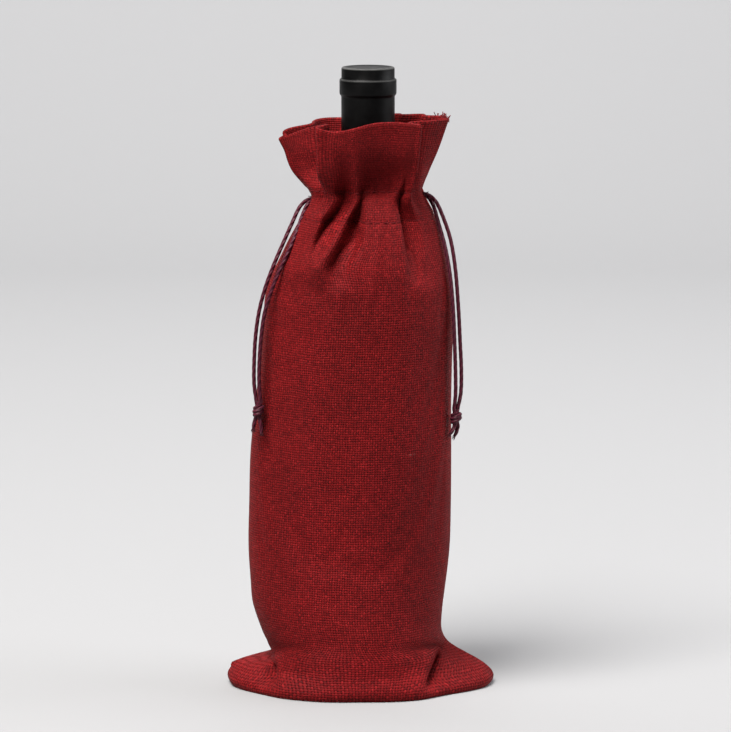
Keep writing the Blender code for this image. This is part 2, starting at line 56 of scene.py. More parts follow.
# ---------------------------------------------------------------- cloth dimensions (mm)
FLAT_WIDTH = 142.0          # finished flat width of the bag between its side seams
THICKNESS = 0.8             # one layer of the cloth
LAYER_GAP = 0.3             # air between the outer layer and the turned-in hem
COLUMNS = 84                # cells across the front in the simulated cloth; the back has as many
FOOT_CELL = 2.2             # height of a simulated cell, below FOOT_TOP
BODY_CELL = 4.5             # the same between the foot and the shoulder
NECK_CELL = 2.4             # the same above the shoulder
FOOT_TOP = 27.0
SHOULDER = 206.0            # above it the cloth follows the neck as it opens
HEM_EDGE = 243.5            # lower edge of the turned-in hem
CASING_LOW = 246.0          # the casing's two stitch rows
CASING_HIGH = 260.5

# Where each fold of the front cloth lies across its flat width, from the left seam (mm).
FOLD_PLACES = (0, 9, 18, 24, 29, 35, 41, 46, 51, 57, 62,
               67, 75, 83, 91, 97, 105, 112, 118, 124, 132, 142)
# The front cloth's plan (x, y) at each of those folds, for each height of the neck (mm). The
# ridges and valleys run down from the ruffle, through the casing, and fade out below it.
FRONT_NECK = (
    (224.0, ((-45.5, -1), (-45, -9), (-42.6, -17), (-39.8, -21.5), (-37, -25), (-33.5, -29),
             (-29.8, -31.5), (-27.5, -33.8), (-24, -35.2), (-18.8, -30.2), (-14, -29.2),
             (-9, -35), (-1.5, -37.8), (6.5, -38), (14, -36.2), (19.6, -33), (21.6, -24.2),
             (26.5, -23.4), (30.8, -21.6), (34.5, -17.4), (38.5, -11), (41.2, -1))),
    (236.0, ((-39.6, -1), (-38.8, -9), (-36, -15.5), (-33.5, -18.5), (-31, -22), (-28.5, -24.5),
             (-25.5, -22.5), (-22.5, -26), (-17.5, -31), (-12, -23), (-7, -21.5),
             (-2.8, -30.5), (3, -33.8), (9, -33.8), (14, -32.3), (18, -28.8), (17.6, -18.4),
             (22.5, -18.2), (27.7, -17.4), (31.5, -14.6), (35.6, -9.5), (37.8, -1))),
    (247.0, ((-33.2, -1), (-32.8, -8.5), (-30.5, -13.5), (-28.8, -16.5), (-27, -20.5),
             (-23.5, -22.5), (-19.5, -15.8), (-16.5, -18.5), (-11.5, -24.2), (-7.5, -16.8),
             (-4.5, -16.5), (-2.2, -25), (3, -28), (8.5, -28), (13, -26.3), (16.2, -22.4),
             (15.2, -14.2), (20, -14.8), (24.5, -15.6), (28.3, -12.5), (31.8, -8), (33.8, -1))),
    (256.5, ((-28.2, -1), (-28.2, -7), (-25, -11), (-22, -12.3), (-22.5, -17.5),
             (-17.5, -20.8), (-12.8, -15.2), (-10.5, -16.3), (-6.2, -21), (-3.8, -16.9),
             (-2.4, -17.6), (-0.8, -20.8), (3.5, -21.3), (8, -20.8), (12, -20.3), (14.2, -18),
             (16, -13.2), (18.5, -17.5), (21.8, -19), (21.8, -11.5), (26.5, -7), (28.8, -1))),
    (261.5, ((-31.8, -1), (-29.5, -8), (-25.5, -11.8), (-19.8, -13.2), (-22.4, -18),
             (-18, -21), (-13, -14.8), (-10.8, -16.5), (-5.9, -22), (-3.2, -16.9),
             (-0.5, -15.5), (2.5, -15.8), (5.5, -16), (9, -16.2), (12.5, -17), (15.5, -19),
             (18, -16.5), (20, -19.5), (22.3, -21.3), (21.3, -12.5), (26, -7), (28, -1))),
    (269.0, ((-38.2, -1), (-32.5, -5), (-26, -8.6), (-18.8, -12.6), (-25.2, -22.5),
             (-19, -25.5), (-13, -21.5), (-10, -22), (-6.2, -24.5), (-3, -20.5), (0, -17.5),
             (3, -16.8), (7, -16.8), (11, -17.5), (14.5, -19), (17.5, -20.5), (19.5, -21),
             (21.5, -22.5), (24.2, -23.5), (21.8, -13.5), (27, -8.5), (30.8, -1))),
    (281.0, ((-43.1, -1.5), (-36.5, -5), (-29, -8.5), (-20.3, -11.8), (-25.9, -26),
             (-20, -28.3), (-14, -28), (-10.5, -28), (-6.5, -28), (-3, -26.8), (0, -26),
             (3, -25.4), (7, -25.2), (12, -25.6), (16, -26.3), (19, -26.8), (21, -27),
             (23, -27), (25.8, -26.2), (20.8, -15), (28.8, -9), (35.9, -1))),
)
# The front's rim: its plan and its height at each of the same folds.
FRONT_RIM = ((-45.6, -1.5), (-38.5, -4.5), (-30, -7.5), (-21.5, -10.8), (-26.6, -28),
             (-19.5, -29.5), (-13.5, -30), (-10, -30), (-6.5, -30), (-3, -29.8), (0, -29.5),
             (3, -29.3), (7.5, -29.2), (12.5, -29), (16.5, -28.8), (19.5, -28.5), (22, -28.2),
             (24.3, -27.6), (27.1, -26.4), (21.6, -15.4), (31.8, -10), (41, -1))
FRONT_RIM_HEIGHTS = (285.6, 288.7, 292, 294.2, 294.3, 292.3, 292.4, 293, 293.9, 294.8, 295.6,
                     296.2, 296.7, 296.8, 296.6, 296.3, 296, 295.7, 295.4, 295.6, 295.8, 295.6)

# The foot: where each point lies across the flat width, and the front's plan at each height.
# A crease parts the body from the ear of cloth on either side.
FOOT_PLACES = (0, 10, 19, 26, 31, 40, 53, 74, 90, 99, 105, 110, 119, 131, 142)
FOOT = (
    (0.5, ((-72.4, 0), (-70, -11.5), (-65, -20.3), (-59.5, -26), (-55, -30.2), (-46, -38.6),
           (-28, -46.6), (0, -47.6), (18, -46), (28, -42), (34, -37), (40.5, -31.6),
           (51, -24), (61, -13.2), (64.8, 0))),
    (3.4, ((-73.4, 0), (-71, -12.3), (-65.5, -21.2), (-59.5, -27), (-54.6, -31.2),
           (-45.8, -39.4), (-28, -47.2), (0, -48.8), (18.3, -46.8), (28.5, -42.6), (34.5, -37.4),
           (41, -32), (51.5, -24.2), (62, -13.2), (65.7, 0))),
    (8.2, ((-71.5, 0), (-68, -9.5), (-61.5, -18.5), (-54, -24.8), (-47, -23.4), (-45.8, -34.6),
           (-28.4, -44.6), (0, -47.6), (19, -44.6), (29.6, -37.4), (28.8, -26.5), (35.2, -27.6),
           (46.5, -20.5), (58, -10), (62.7, 0))),
    (11.8, ((-67.5, 0), (-62.5, -8), (-57, -14.3), (-52, -18), (-47.6, -17), (-46.4, -28.4),
            (-28.6, -42.4), (0, -46.2), (20, -41.8), (31, -32.4), (30.8, -18), (36.8, -19.2),
            (46.5, -12.8), (54.5, -6), (57.8, 0))),
    (14.2, ((-51.4, 0), (-51.2, -6.5), (-50.6, -11), (-49.6, -14.5), (-48.4, -18.8), (-44.8, -28.8),
            (-28.7, -41.6), (0, -46), (20.3, -40.8), (32.2, -29.6), (32.8, -13.8),
            (37.6, -14.8), (44, -9.5), (50, -4), (53.6, 0))),
    (20.5, ((-51.8, 0), (-51.4, -6), (-50.2, -11.5), (-48.6, -16), (-46.4, -20.4), (-42.4, -28.2),
            (-28.9, -40.2), (0, -45.4), (20.8, -39.6), (32, -28), (35.6, -16.5),
            (37.2, -11.5), (39.2, -8), (41.4, -4), (43, 0))),
)
# The underside, from the bottom seam out: (height, shares of the lowest plan's x and y).
FLOOR_ROWS = ((0.9, 0.965, 0.0), (0.5, 0.975, 0.36), (0.45, 0.99, 0.74))

# The body: (height, left, right, front and back reach).
BODY = (
    (27, 54.6, 38.5, 44.8, 40.4), (35, 57.6, 38.2, 43.8, 39.6), (44, 60.2, 39.0, 42.4, 39.0),
    (54, 61.0, 40.3, 41.0, 38.7), (70, 62.0, 42.1, 39.4, 38.6), (97, 61.6, 42.9, 38.4, 38.6),
    (123, 60.8, 43.0, 38.4, 38.6), (150, 58.0, 42.9, 38.4, 38.6), (176, 55.3, 43.4, 38.5, 38.7),
    (194, 53.6, 44.0, 38.8, 38.9), (204, 53.0, 43.8, 39.0, 39.0), (213, 50.8, 42.6, 39.2, 38.8),
)
# The gathered back of the neck: (height, back reach, pleat depth).
BACK_NECK = {224.0: (36.4, 1.4), 236.0: (31.0, 3.0), 247.0: (24.6, 3.6), 256.5: (21.2, 3.0),
             261.5: (22.0, 3.2), 269.0: (23.5, 3.4), 281.0: (26.0, 3.0)}
BACK_RIM_REACH = (27.2, 2.6)
BACK_RIM_PLACES = (0, 10, 25, 60, 110, 142)
BACK_RIM_HEIGHTS = (285.6, 288.5, 291.8, 294.4, 296.2, 295.6)
BACK_PLEATS = 6.5
LEFT_WING = 24.0            # how far in from its tip the left wing of the ruffle lies flat
SEAM_BLEND = 0.12           # share of the back's width that bends to meet the front's edge


# ---------------------------------------------------------------- curves
def through(knots, values, at):
    """A smooth curve through values at knots, read at the places at."""
    knots = np.asarray(knots, float)
    values = np.asarray(values, float)
    at = np.asarray(at, float)
    wide = (slice(None),) + (None,) * (values.ndim - 1)
    gaps = np.diff(knots)[wide]
    slopes = np.diff(values, axis=0) / gaps
    tangents = np.empty_like(values)
    tangents[0], tangents[-1] = slopes[0], slopes[-1]
    tangents[1:-1] = (slopes[:-1] * gaps[1:] + slopes[1:] * gaps[:-1]) / (gaps[1:] + gaps[:-1])
    cell = np.clip(np.searchsorted(knots, at, side="right") - 1, 0, len(knots) - 2)
    width = np.diff(knots)[cell][wide]
    t = ((at - knots[cell]) / np.diff(knots)[cell])[wide]
    return ((1 + 2 * t) * (1 - t) ** 2 * values[cell] + t * (1 - t) ** 2 * width * tangents[cell]
            + t * t * (3 - 2 * t) * values[cell + 1] + t * t * (t - 1) * width * tangents[cell + 1])


def smoothstep(low, high, value):
    t = np.clip((np.asarray(value, float) - low) / (high - low), 0, 1)
    return t * t * (3 - 2 * t)


def half_ellipse(left, right, depth, places):
    """Points at equal shares of the length of a half outline, from the left seam round to
    the right one. depth is negative for the front."""
    turn = np.linspace(0, math.pi, 721)
    reach = np.where(turn < math.pi / 2, left, right)
    x = -reach * np.cos(turn)
    y = depth * np.sin(turn)
    run = np.concatenate([[0], np.cumsum(np.hypot(np.diff(x), np.diff(y)))])
    at = np.asarray(places) / FLAT_WIDTH * run[-1]
    return np.stack([np.interp(at, run, x), np.interp(at, run, y)], axis=1)


# ---------------------------------------------------------------- the cloth's shape
def with_height(plan, height):
    return np.column_stack([plan, np.full(len(plan), 1.0) * height])


def lower_levels(places, facing):
    """The outlines from the bottom seam to the shoulder: of the front where facing is -1,
    and of the back where it is 1. The back's foot mirrors the front's."""
    mirror = np.array([1, -facing])
    floor = through(FOOT_PLACES, FOOT[0][1], places) * mirror
    levels = [with_height(floor * (across, deep), height) for height, across, deep in FLOOR_ROWS]
    levels += [with_height(through(FOOT_PLACES, plan, places) * mirror, height)
               for height, plan in FOOT]
    for height, left, right, front, back in BODY:
        depth = -front if facing < 0 else back
        levels.append(with_height(half_ellipse(left, right, depth, places), height))
    return levels


def front_levels(places):
    """The front cloth's outline at each listed height, from the bottom seam to the rim."""
    neck = [with_height(through(FOLD_PLACES, plan, places), height) for height, plan in FRONT_NECK]
    rim = through(FOLD_PLACES, np.column_stack([FRONT_RIM, FRONT_RIM_HEIGHTS]), places)
    return np.array(lower_levels(places, -1) + neck + [rim])


def pleated_back(left, right, reach, pleat, places, wing=0.0):
    """A gathered half outline with pinched pleats of uneven width. Near the left seam it
    lies flat against the front, as far in as wing."""
    share = np.asarray(places) / FLAT_WIDTH
    plan = half_ellipse(left, right, reach, places)
    if wing:
        plan[:, 1] *= smoothstep(-left, wing - left, plan[:, 0])
    wave = np.cos(2 * math.pi * (BACK_PLEATS * share + 0.25 * np.sin(7 * share + 1.0)))
    fade = np.clip(np.sin(math.pi * share) / 0.3, 0, 1)
    outward = plan / np.linalg.norm(plan, axis=1, keepdims=True)
    return plan + outward * (pleat * (wave - 0.35 * wave ** 2) * fade)[:, None]


def back_levels(places, front):
    """The back cloth's outlines. Its side edges are the front cloth's."""
    levels = lower_levels(places, 1)
    for height, plan in FRONT_NECK:
        reach, pleat = BACK_NECK[height]
        flat = LEFT_WING * float(smoothstep(260, 285, height))
        outline = pleated_back(-plan[0][0], plan[-1][0], reach, pleat, places, flat)
        levels.append(with_height(outline, height))
    rim = pleated_back(-FRONT_RIM[0][0], FRONT_RIM[-1][0], *BACK_RIM_REACH, places, LEFT_WING)
    heights = through(BACK_RIM_PLACES, BACK_RIM_HEIGHTS, places)
    levels.append(np.column_stack([rim, heights]))
    levels = np.array(levels)
    share = np.asarray(places) / FLAT_WIDTH
    for end, near in ((0, 1 - smoothstep(0, SEAM_BLEND, share)),
                      (-1, smoothstep(1 - SEAM_BLEND, 1, share))):
        levels += (front[:, end] - levels[:, end])[:, None, :] * near[None, :, None]
    return levels


def cloth_grid():
    """The ring of the whole bag before it settles: rows from the bottom seam to the rim,
    columns from the left seam across the front to the right seam and back behind. Also the
    distance up the cloth of each row, in mm."""
    places = np.linspace(0, FLAT_WIDTH, COLUMNS + 1)
    front = front_levels(places)
    back = back_levels(places, front)
    ring = np.concatenate([front, back[:, -2:0:-1]], axis=1)
    middle = COLUMNS // 2
    steps = np.linalg.norm(np.diff(front[:, middle - 6:middle + 7], axis=0), axis=2).mean(axis=1)
    knots = np.concatenate([[0], np.cumsum(steps)])
    shoulder = np.interp(SHOULDER, front[3:, middle, 2], knots[3:])
    ankle = np.interp(FOOT_TOP, front[3:, middle, 2], knots[3:])
    stretches = ((0, ankle, FOOT_CELL), (ankle, shoulder, BODY_CELL),
                 (shoulder, knots[-1], NECK_CELL))
    rows = np.concatenate([np.linspace(low, high, round((high - low) / cell) + 1)[:-1]
                           for low, high, cell in stretches] + [knots[-1:]])
    grid = through(knots, ring, rows)
    grid[..., 2] = np.maximum(grid[..., 2], THICKNESS / 2)
    return grid * MM, rows


# ---------------------------------------------------------------- settling the cloth
SIM_SCALE = 10.0            # cloth is simulated ten times larger, where the solver is steady
SETTLE_FRAMES = 22
SETTLE_REACH = 4.5          # no point of the cloth settles further than this (mm)
SETTLED_BODY = 0.4          # share of the settling that the body keeps
SETTLED_RUFFLE = 0.9        # share that the ruffle keeps
CAPSULE_NECK = 13.8         # radius of the foil below its ring (mm)
CAPSULE_LIP = 13.7
RING_LOW = 308.5            # the glass ring under the foil
RING_HIGH = 317.3
# Outline of the bottle inside: (height, radius) in mm.
BOTTLE = ((2.3, 32), (6, 36.3), (205, 36.3), (214.6, 34.6), (223, 29.8), (227.9, 24.4),
          (233.9, 16), (237.2, 13.8), (240, 13.2), (264.8, 13.2), (265, CAPSULE_NECK),
          (RING_LOW, CAPSULE_NECK), (RING_LOW + 0.4, 14.7), (RING_HIGH, 14.7),
          (RING_HIGH + 0.4, CAPSULE_LIP), (323.4, CAPSULE_LIP))
BOTTLE_LIFT = 6.0           # how far the bottle's joint lifts it (mm)


def bottle_radius(height):
    """The bottle's outer radius in mm at a height in mm."""
    knots = np.array(BOTTLE, float)
    return np.interp(height, knots[:, 0], knots[:, 1])


def room_for_bottle(height):
    """The widest the bottle gets at a height, anywhere in its lift (mm)."""
    height = np.asarray(height)
    return np.maximum(bottle_radius(height), bottle_radius(height - BOTTLE_LIFT))


def ring_faces(rows, columns, point):
    """Faces of a grid whose columns close into a ring. point gives the number of a point."""
    faces = []
    for r in range(rows - 1):
        for c in range(columns):
            after = (c + 1) % columns
            faces.append((point(r, c), point(r, after), point(r + 1, after), point(r + 1, c)))
    return faces


def sim_mesh(name, points, faces):
    mesh = bpy.data.meshes.new(name)
    mesh.from_pydata([tuple(p * SIM_SCALE) for p in points], [], faces)
    mesh.validate()
    made = bpy.data.objects.new(name, mesh)
    bpy.context.scene.collection.objects.link(made)
    return made


def collider(name, points, faces):
    made = sim_mesh(name, points, faces)
    made.modifiers.new("Collision", "COLLISION")
    made.collision.thickness_outer = 0.012
    made.collision.cloth_friction = 3.0
    return made


def bottle_collider():
    sides = 40
    turn = np.linspace(0, 2 * math.pi, sides, endpoint=False)
    circle = np.column_stack([np.cos(turn), np.sin(turn), np.zeros(sides)])
    points = [circle[i] * radius * MM + np.array([0, 0, height * MM])
              for height, radius in BOTTLE for i in range(sides)]
    faces = ring_faces(len(BOTTLE), sides, lambda r, c: r * sides + c)
    return collider("settle_bottle", points, faces)


def floor_collider():
    reach = 0.2
    corners = [np.array([x, y, -0.0004]) for x, y in
               ((-reach, -reach), (reach, -reach), (reach, reach), (-reach, reach))]
    return collider("settle_floor", corners, [(0, 1, 2, 3)])


def hold(grid):
    """How firmly each point keeps its place while the cloth settles: the cord holds the
    casing fast and the floor the foot, the body is free, the ruffle nearly so, and the side
    seams are stiff."""
    height = grid[..., 2] / MM
    columns = grid.shape[1]
    from_seam = np.abs((np.arange(columns) + columns // 4) % (columns // 2) - columns // 4)
    seam = 1 - smoothstep(0, 12, from_seam)
    casing = smoothstep(244, 251, height) * (1 - smoothstep(261, 266, height))
    foot = 1 - smoothstep(20, 75, height)
    ruffle = smoothstep(262, 270, height)
    free = 0.05 + 0.25 * ruffle + 0.9 * seam[None, :]
    return np.clip(free + casing + 0.95 * foot, 0, 1)


def settle(grid):
    """Lets the cloth relax on the bottle by simulation, and gives back a damped share of
    its movement: less of it in the smooth body than in the ruffle."""
    rows, columns = grid.shape[:2]
    front = columns // 2

    def index(r, c):
        """The back of the bottom seam uses the points of its front."""
        return r * columns + (columns - c if r == 0 and c > front else c)

    points = grid.reshape(-1, 3)
    cloth = sim_mesh("settle_cloth", points, ring_faces(rows, columns, index))
    group = cloth.vertex_groups.new(name="hold")
    for i, weight in enumerate(hold(grid).ravel()):
        group.add([i], float(weight), "REPLACE")
    modifier = cloth.modifiers.new("Cloth", "CLOTH")
    fabric = modifier.settings
    fabric.quality = 7
    fabric.mass = 0.35
    fabric.tension_stiffness = 22
    fabric.compression_stiffness = 18
    fabric.shear_stiffness = 9
    fabric.bending_stiffness = 0.35
    fabric.tension_damping = 8
    fabric.air_damping = 2
    fabric.effector_weights.gravity = 0.25
    fabric.vertex_group_mass = "hold"
    fabric.pin_stiffness = 2.5
    modifier.collision_settings.use_collision = True
    modifier.collision_settings.distance_min = 0.006
    modifier.collision_settings.use_self_collision = False
    helpers = [bottle_collider(), floor_collider()]
    scene = bpy.context.scene
    modifier.point_cache.frame_start = 1
    modifier.point_cache.frame_end = SETTLE_FRAMES
    for number in range(1, SETTLE_FRAMES + 1):
        scene.frame_set(number)
    shape = cloth.evaluated_get(bpy.context.evaluated_depsgraph_get()).data
    settled = np.zeros(len(points) * 3)
    shape.vertices.foreach_get("co", settled)
    settled = settled.reshape(grid.shape) / SIM_SCALE
    settled[0, front + 1:] = settled[0, front - 1:0:-1]
    for made in [cloth] + helpers:
        bpy.data.objects.remove(made)
    scene.frame_set(1)
    ruffle = smoothstep(240, 268, grid[..., 2:] / MM)
    move = (settled - grid) * (SETTLED_BODY + (SETTLED_RUFFLE - SETTLED_BODY) * ruffle)
    length = np.linalg.norm(move, axis=2, keepdims=True)
    return grid + move * np.minimum(1, SETTLE_REACH * MM / np.maximum(length, 1e-9))


# ---------------------------------------------------------------- fine cloth
FINER = 2                   # fine cells per simulated cell
CLEARANCE = 0.9             # from the bottle to the middle of the cloth
CORD = 2.0                  # diameter of the drawcords
CASING_ROOM = THICKNESS + CORD + 0.3    # the cloth stands this far out from the hem
RIGHT_CORD_HEIGHT = 257.7
LEFT_CORD_HEIGHT = 254.9
CORDS_HEIGHT = 0.5 * (RIGHT_CORD_HEIGHT + LEFT_CORD_HEIGHT)
SLIT = 3.1                  # half the opening left in each side seam for the cords
SLIT_HEIGHT = 5.2           # half its height
SLIT_COLUMNS = 10           # columns beside the seam that the opening spreads
FOLD_TURNS = (0.25, 0.5, 0.75)          # the rows that carry the cloth over the rim
FOLD_STEP = 0.5             # cloth between two of those rows (mm)
HEM_REACH = 13              # the hem runs straight past folds this many columns away


def finer(grid, rows):
    """The settled ring on a finer grid, and its rows' distances up the cloth."""
    columns = grid.shape[1]
    around = np.arange(-3, columns + 4)
    wrapped = grid[:, around % columns]
    fine_rows = np.interp(np.arange((len(rows) - 1) * FINER + 1) / FINER,
                          np.arange(len(rows)), rows)
    fine = through(rows, wrapped, fine_rows)
    places = np.arange(columns * FINER) / FINER
    fine = np.swapaxes(through(around, np.swapaxes(fine, 0, 1), places), 0, 1)
    return fine, fine_rows


def normals(grid, ring):
    """Unit normals of a grid whose columns close into a ring, or of a part of one."""
    if ring:
        along = np.roll(grid, -1, axis=1) - np.roll(grid, 1, axis=1)
    else:
        along = np.gradient(grid, axis=1)
    up = np.gradient(grid, axis=0)
    facing = np.cross(along, up)
    return facing / np.maximum(np.linalg.norm(facing, axis=2, keepdims=True), 1e-12)


def smooth_around(values, reach):
    """A running mean round the ring."""
    return sum(np.roll(values, k, axis=1) for k in range(-reach, reach + 1)) / (2 * reach + 1)


def clear_of_bottle(grid):
    """Pushes the cloth out to its clearance from the bottle, and wider at the casing, where
    the cords and the hem pass inside it."""
    height = grid[..., 2] / MM
    radius = np.hypot(grid[..., 0], grid[..., 1]) / MM
    casing = smoothstep(247, 252, height) * (1 - smoothstep(260, 264, height))
    hem = smoothstep(236, 243, height)
    least = room_for_bottle(height) + CLEARANCE + hem * 1.2 + casing * (CASING_ROOM - 1.0)
    least[height < 3] = 0
    push = np.maximum(0, least - radius) / np.maximum(radius, 1e-6)
    grid[..., :2] *= (1 + push)[..., None]
    return grid


def stitched(grid, facing):
    """The stitch rows draw the cloth in, and the cords fill the casing between them."""
    height = grid[..., 2] / MM
    pull = sum(np.exp(-((height - row) / 1.1) ** 2) for row in (CASING_LOW, CASING_HIGH))
    fill = np.exp(-((height - CORDS_HEIGHT) / 3.5) ** 2)
    return grid + facing * ((0.35 * fill - 0.45 * pull) * MM)[..., None]


def hem_layer(ring, facing):
    """The turned-in hem. It follows the cloth, and at the casing it runs straight past the
    inside of the folds, so that the cords fit between."""
    height = ring[..., 2] / MM
    close = ring - smooth_around(facing, 1) * (THICKNESS + LAYER_GAP) * MM
    radius = np.hypot(ring[..., 0], ring[..., 1])
    least = np.min([np.roll(radius, k, axis=1) for k in range(-HEM_REACH, HEM_REACH + 1)],
                   axis=0)
    least = smooth_around(smooth_around(least, 5), 5)
    straight = ring.copy()
    straight[..., :2] *= ((least - CASING_ROOM * MM) / radius)[..., None]
    casing = smoothstep(243, 247, height) * (1 - smoothstep(260, 266, height))
    return close + (straight - close) * casing[..., None]


def part_of_ring(values, first, columns):
    """The columns of the ring that make one side of the bag, with both of its edges."""
    around = (np.arange(first, first + columns + 1)) % values.shape[1]
    return values[:, around]


def open_slit(half):
    """Spreads the casing's ends, where the side seam is left open for the cords."""
    side = np.sign(half[len(half) // 2, half.shape[1] // 2, 1])
    for end, step in ((0, 1), (-1, -1)):
        for k in range(SLIT_COLUMNS):
            column = half[:, end + step * k]
            lens = np.clip(1 - ((column[:, 2] / MM - CORDS_HEIGHT) / SLIT_HEIGHT) ** 2, 0, 1) ** 0.7
            near = 1 - smoothstep(0, SLIT_COLUMNS, k)
            wanted = side * np.maximum(side * column[:, 1], SLIT * MM)
            column[:, 1] += (wanted - column[:, 1]) * lens * near
    return half


def layered(outer, hem, facing, rows):
    """The cloth's middle from the bottom seam up, over the fold at the rim and down the hem,
    with the distance along it."""
    top = outer[-1]
    inner = hem[-1]
    centre = (top + inner) / 2
    out = (top - inner) / 2
    radius = np.linalg.norm(out, axis=1, keepdims=True)
    up = outer[-1] - outer[-3]
    up /= np.linalg.norm(up, axis=1, keepdims=True)
    fold = [centre + out * math.cos(math.pi * t) + up * radius * math.sin(math.pi * t)
            for t in FOLD_TURNS]
    heights = hem[..., 2].mean(axis=1) / MM
    last = int(np.argmax(heights > HEM_EDGE))
    middle = np.concatenate([outer, np.array(fold), hem[:last - 1:-1]])
    fold_rows = [rows[-1] + FOLD_STEP * (k + 1) for k in range(len(fold))]
    hem_rows = fold_rows[-1] + FOLD_STEP + rows[-1] - rows[:last - 1:-1]
    return middle, np.concatenate([rows, fold_rows, hem_rows])


# ---------------------------------------------------------------- mesh pieces
def piece(name, points, faces, material, uvs=None):
    """A smooth mesh object. uvs holds one (u, v) for each point."""
    mesh = bpy.data.meshes.new(name)
    mesh.from_pydata([tuple(p) for p in points], [], faces)
    mesh.update()
    if uvs is not None:
        corners = np.zeros(len(mesh.loops), np.int32)
        mesh.loops.foreach_get("vertex_index", corners)
        layer = mesh.uv_layers.new(name="cloth")
        layer.data.foreach_set("uv", np.asarray(uvs, np.float32)[corners].ravel())
    mesh.shade_smooth()
    mesh.materials.append(material)
    made = bpy.data.objects.new(name, mesh)
    bpy.context.scene.collection.objects.link(made)
    return made


def cloth_shell(name, middle, up, material, first_across):
    """A closed sheet THICKNESS thick about a grid of points, with its weave in metres."""
    facing = normals(middle, ring=False)
    rows, columns = middle.shape[:2]
    half = THICKNESS / 2 * MM
    points = np.concatenate([(middle + facing * half).reshape(-1, 3),
                             (middle - facing * half).reshape(-1, 3)])
    across = first_across + np.linspace(0, FLAT_WIDTH, columns)
    grid_uv = np.stack(np.meshgrid(across, up), axis=2).reshape(-1, 2) * MM
    back = rows * columns
    faces = []
    for r in range(rows - 1):
        for c in range(columns - 1):
            a = r * columns + c
            above = a + columns
            faces.append((a, a + 1, above + 1, above))
            faces.append((back + a, back + above, back + above + 1, back + a + 1))
    for c in range(columns - 1):
        low, high = c, (rows - 1) * columns + c
        faces.append((low, back + low, back + low + 1, low + 1))
        faces.append((high, high + 1, back + high + 1, back + high))
    for r in range(rows - 1):
        left, right = r * columns, r * columns + columns - 1
        faces.append((left, left + columns, back + left + columns, back + left))
        faces.append((right, back + right, back + right + columns, right + columns))
    return piece(name, points, faces, material, np.concatenate([grid_uv, grid_uv]))


def frames_along(points):
    """Two unit directions across a path, turning as little as they can."""
    points = np.asarray(points, float)
    ahead = np.gradient(points, axis=0)
    ahead /= np.linalg.norm(ahead, axis=1, keepdims=True)
    side = np.cross(ahead[0], (0.3, 0.9, 0.2))
    sides = []
    for direction in ahead:
        side = side - direction * side.dot(direction)
        side /= np.linalg.norm(side)
        sides.append(side)
    sides = np.array(sides)
    return sides, np.cross(ahead, sides)


def distances(points):
    """How far along a path each of its points lies."""
    return np.concatenate([[0], np.cumsum(np.linalg.norm(np.diff(points, axis=0), axis=1))])


def read_along(values, run, at):
    """The values of a path's points, read at other distances along it."""
    return np.stack([np.interp(at, run, values[:, k]) for k in range(3)], axis=1)


def smooth_path(route, spacing):
    """Points about spacing apart on a smooth curve through the route's points."""
    route = np.asarray(route, float)
    ends = np.concatenate([[2 * route[0] - route[1]], route, [2 * route[-1] - route[-2]]])
    points = []
    for a, b, c, d in zip(ends, ends[1:], ends[2:], ends[3:]):
        steps = max(1, round(float(np.linalg.norm(c - b)) / spacing))
        t = (np.arange(steps) / steps)[:, None]
        points.append(0.5 * (2 * b + (c - a) * t + (2 * a - 5 * b + 4 * c - d) * t ** 2
                             + (3 * b - 3 * c + d - a) * t ** 3))
    return np.concatenate(points + [route[-1:]])


def tube_parts(path, radius, sides, twist=0.0, lobes=0, lobe=0.0, first=0, v_start=0.0):
    """Points, faces and uvs of a capped tube. Its section has lobes that turn along it, as
    the plies of a twisted cord do. radius is a number or one for each point."""
    path = np.asarray(path, float)
    count = len(path)
    side_a, side_b = frames_along(path)
    run = distances(path)
    radius = np.broadcast_to(np.asarray(radius, float), (count,))
    turn = np.arange(sides) / sides * 2 * math.pi
    wave = 1 + lobe * np.cos(lobes * turn[None, :] - twist * run[:, None]) if lobes else 1.0
    reach = radius[:, None] * wave * np.ones((count, sides))
    points = (path[:, None] + side_a[:, None] * (np.cos(turn) * reach)[..., None]
              + side_b[:, None] * (np.sin(turn) * reach)[..., None]).reshape(-1, 3)
    faces = []
    for r in range(count - 1):
        for c in range(sides):
            after = (c + 1) % sides
            a, b = first + r * sides + c, first + r * sides + after
            faces.append((a, b, b + sides, a + sides))
    faces.append(tuple(first + c for c in reversed(range(sides))))
    faces.append(tuple(first + (count - 1) * sides + c for c in range(sides)))
    uvs = [(turn[c] / (2 * math.pi), v_start + run[r]) for r in range(count) for c in range(sides)]
    return points, faces, uvs


def tubes(name, paths, radius, sides, material, **shape):
    """Many tubes in one piece."""
    all_points, all_faces, all_uvs = [], [], []
    first = 0
    for path in paths:
        points, faces, uvs = tube_parts(path, radius, sides, first=first, **shape)
        all_points.append(points)
        all_faces += faces
        all_uvs += uvs
        first += len(points)
    return piece(name, np.concatenate(all_points), all_faces, material, all_uvs)


def turned(name, profile, sides, material):
    """A solid of revolution about the vertical axis, from (radius, height) points in mm that
    start and end on the axis."""
    turn = np.arange(sides) / sides * 2 * math.pi
    points = [(0, 0, profile[0][1] * MM)]
    for radius, height in profile[1:-1]:
        points += [(radius * MM * math.cos(a), radius * MM * math.sin(a), height * MM)
                   for a in turn]
    points.append((0, 0, profile[-1][1] * MM))
    rings = len(profile) - 2
    faces = []
    for c in range(sides):
        after = (c + 1) % sides
        faces.append((0, 1 + after, 1 + c))
        for r in range(rings - 1):
            a, b = 1 + r * sides + c, 1 + r * sides + after
            faces.append((a, b, b + sides, a + sides))
        top = 1 + (rings - 1) * sides
        faces.append((top + c, top + after, len(points) - 1))
    return piece(name, points, faces, material)


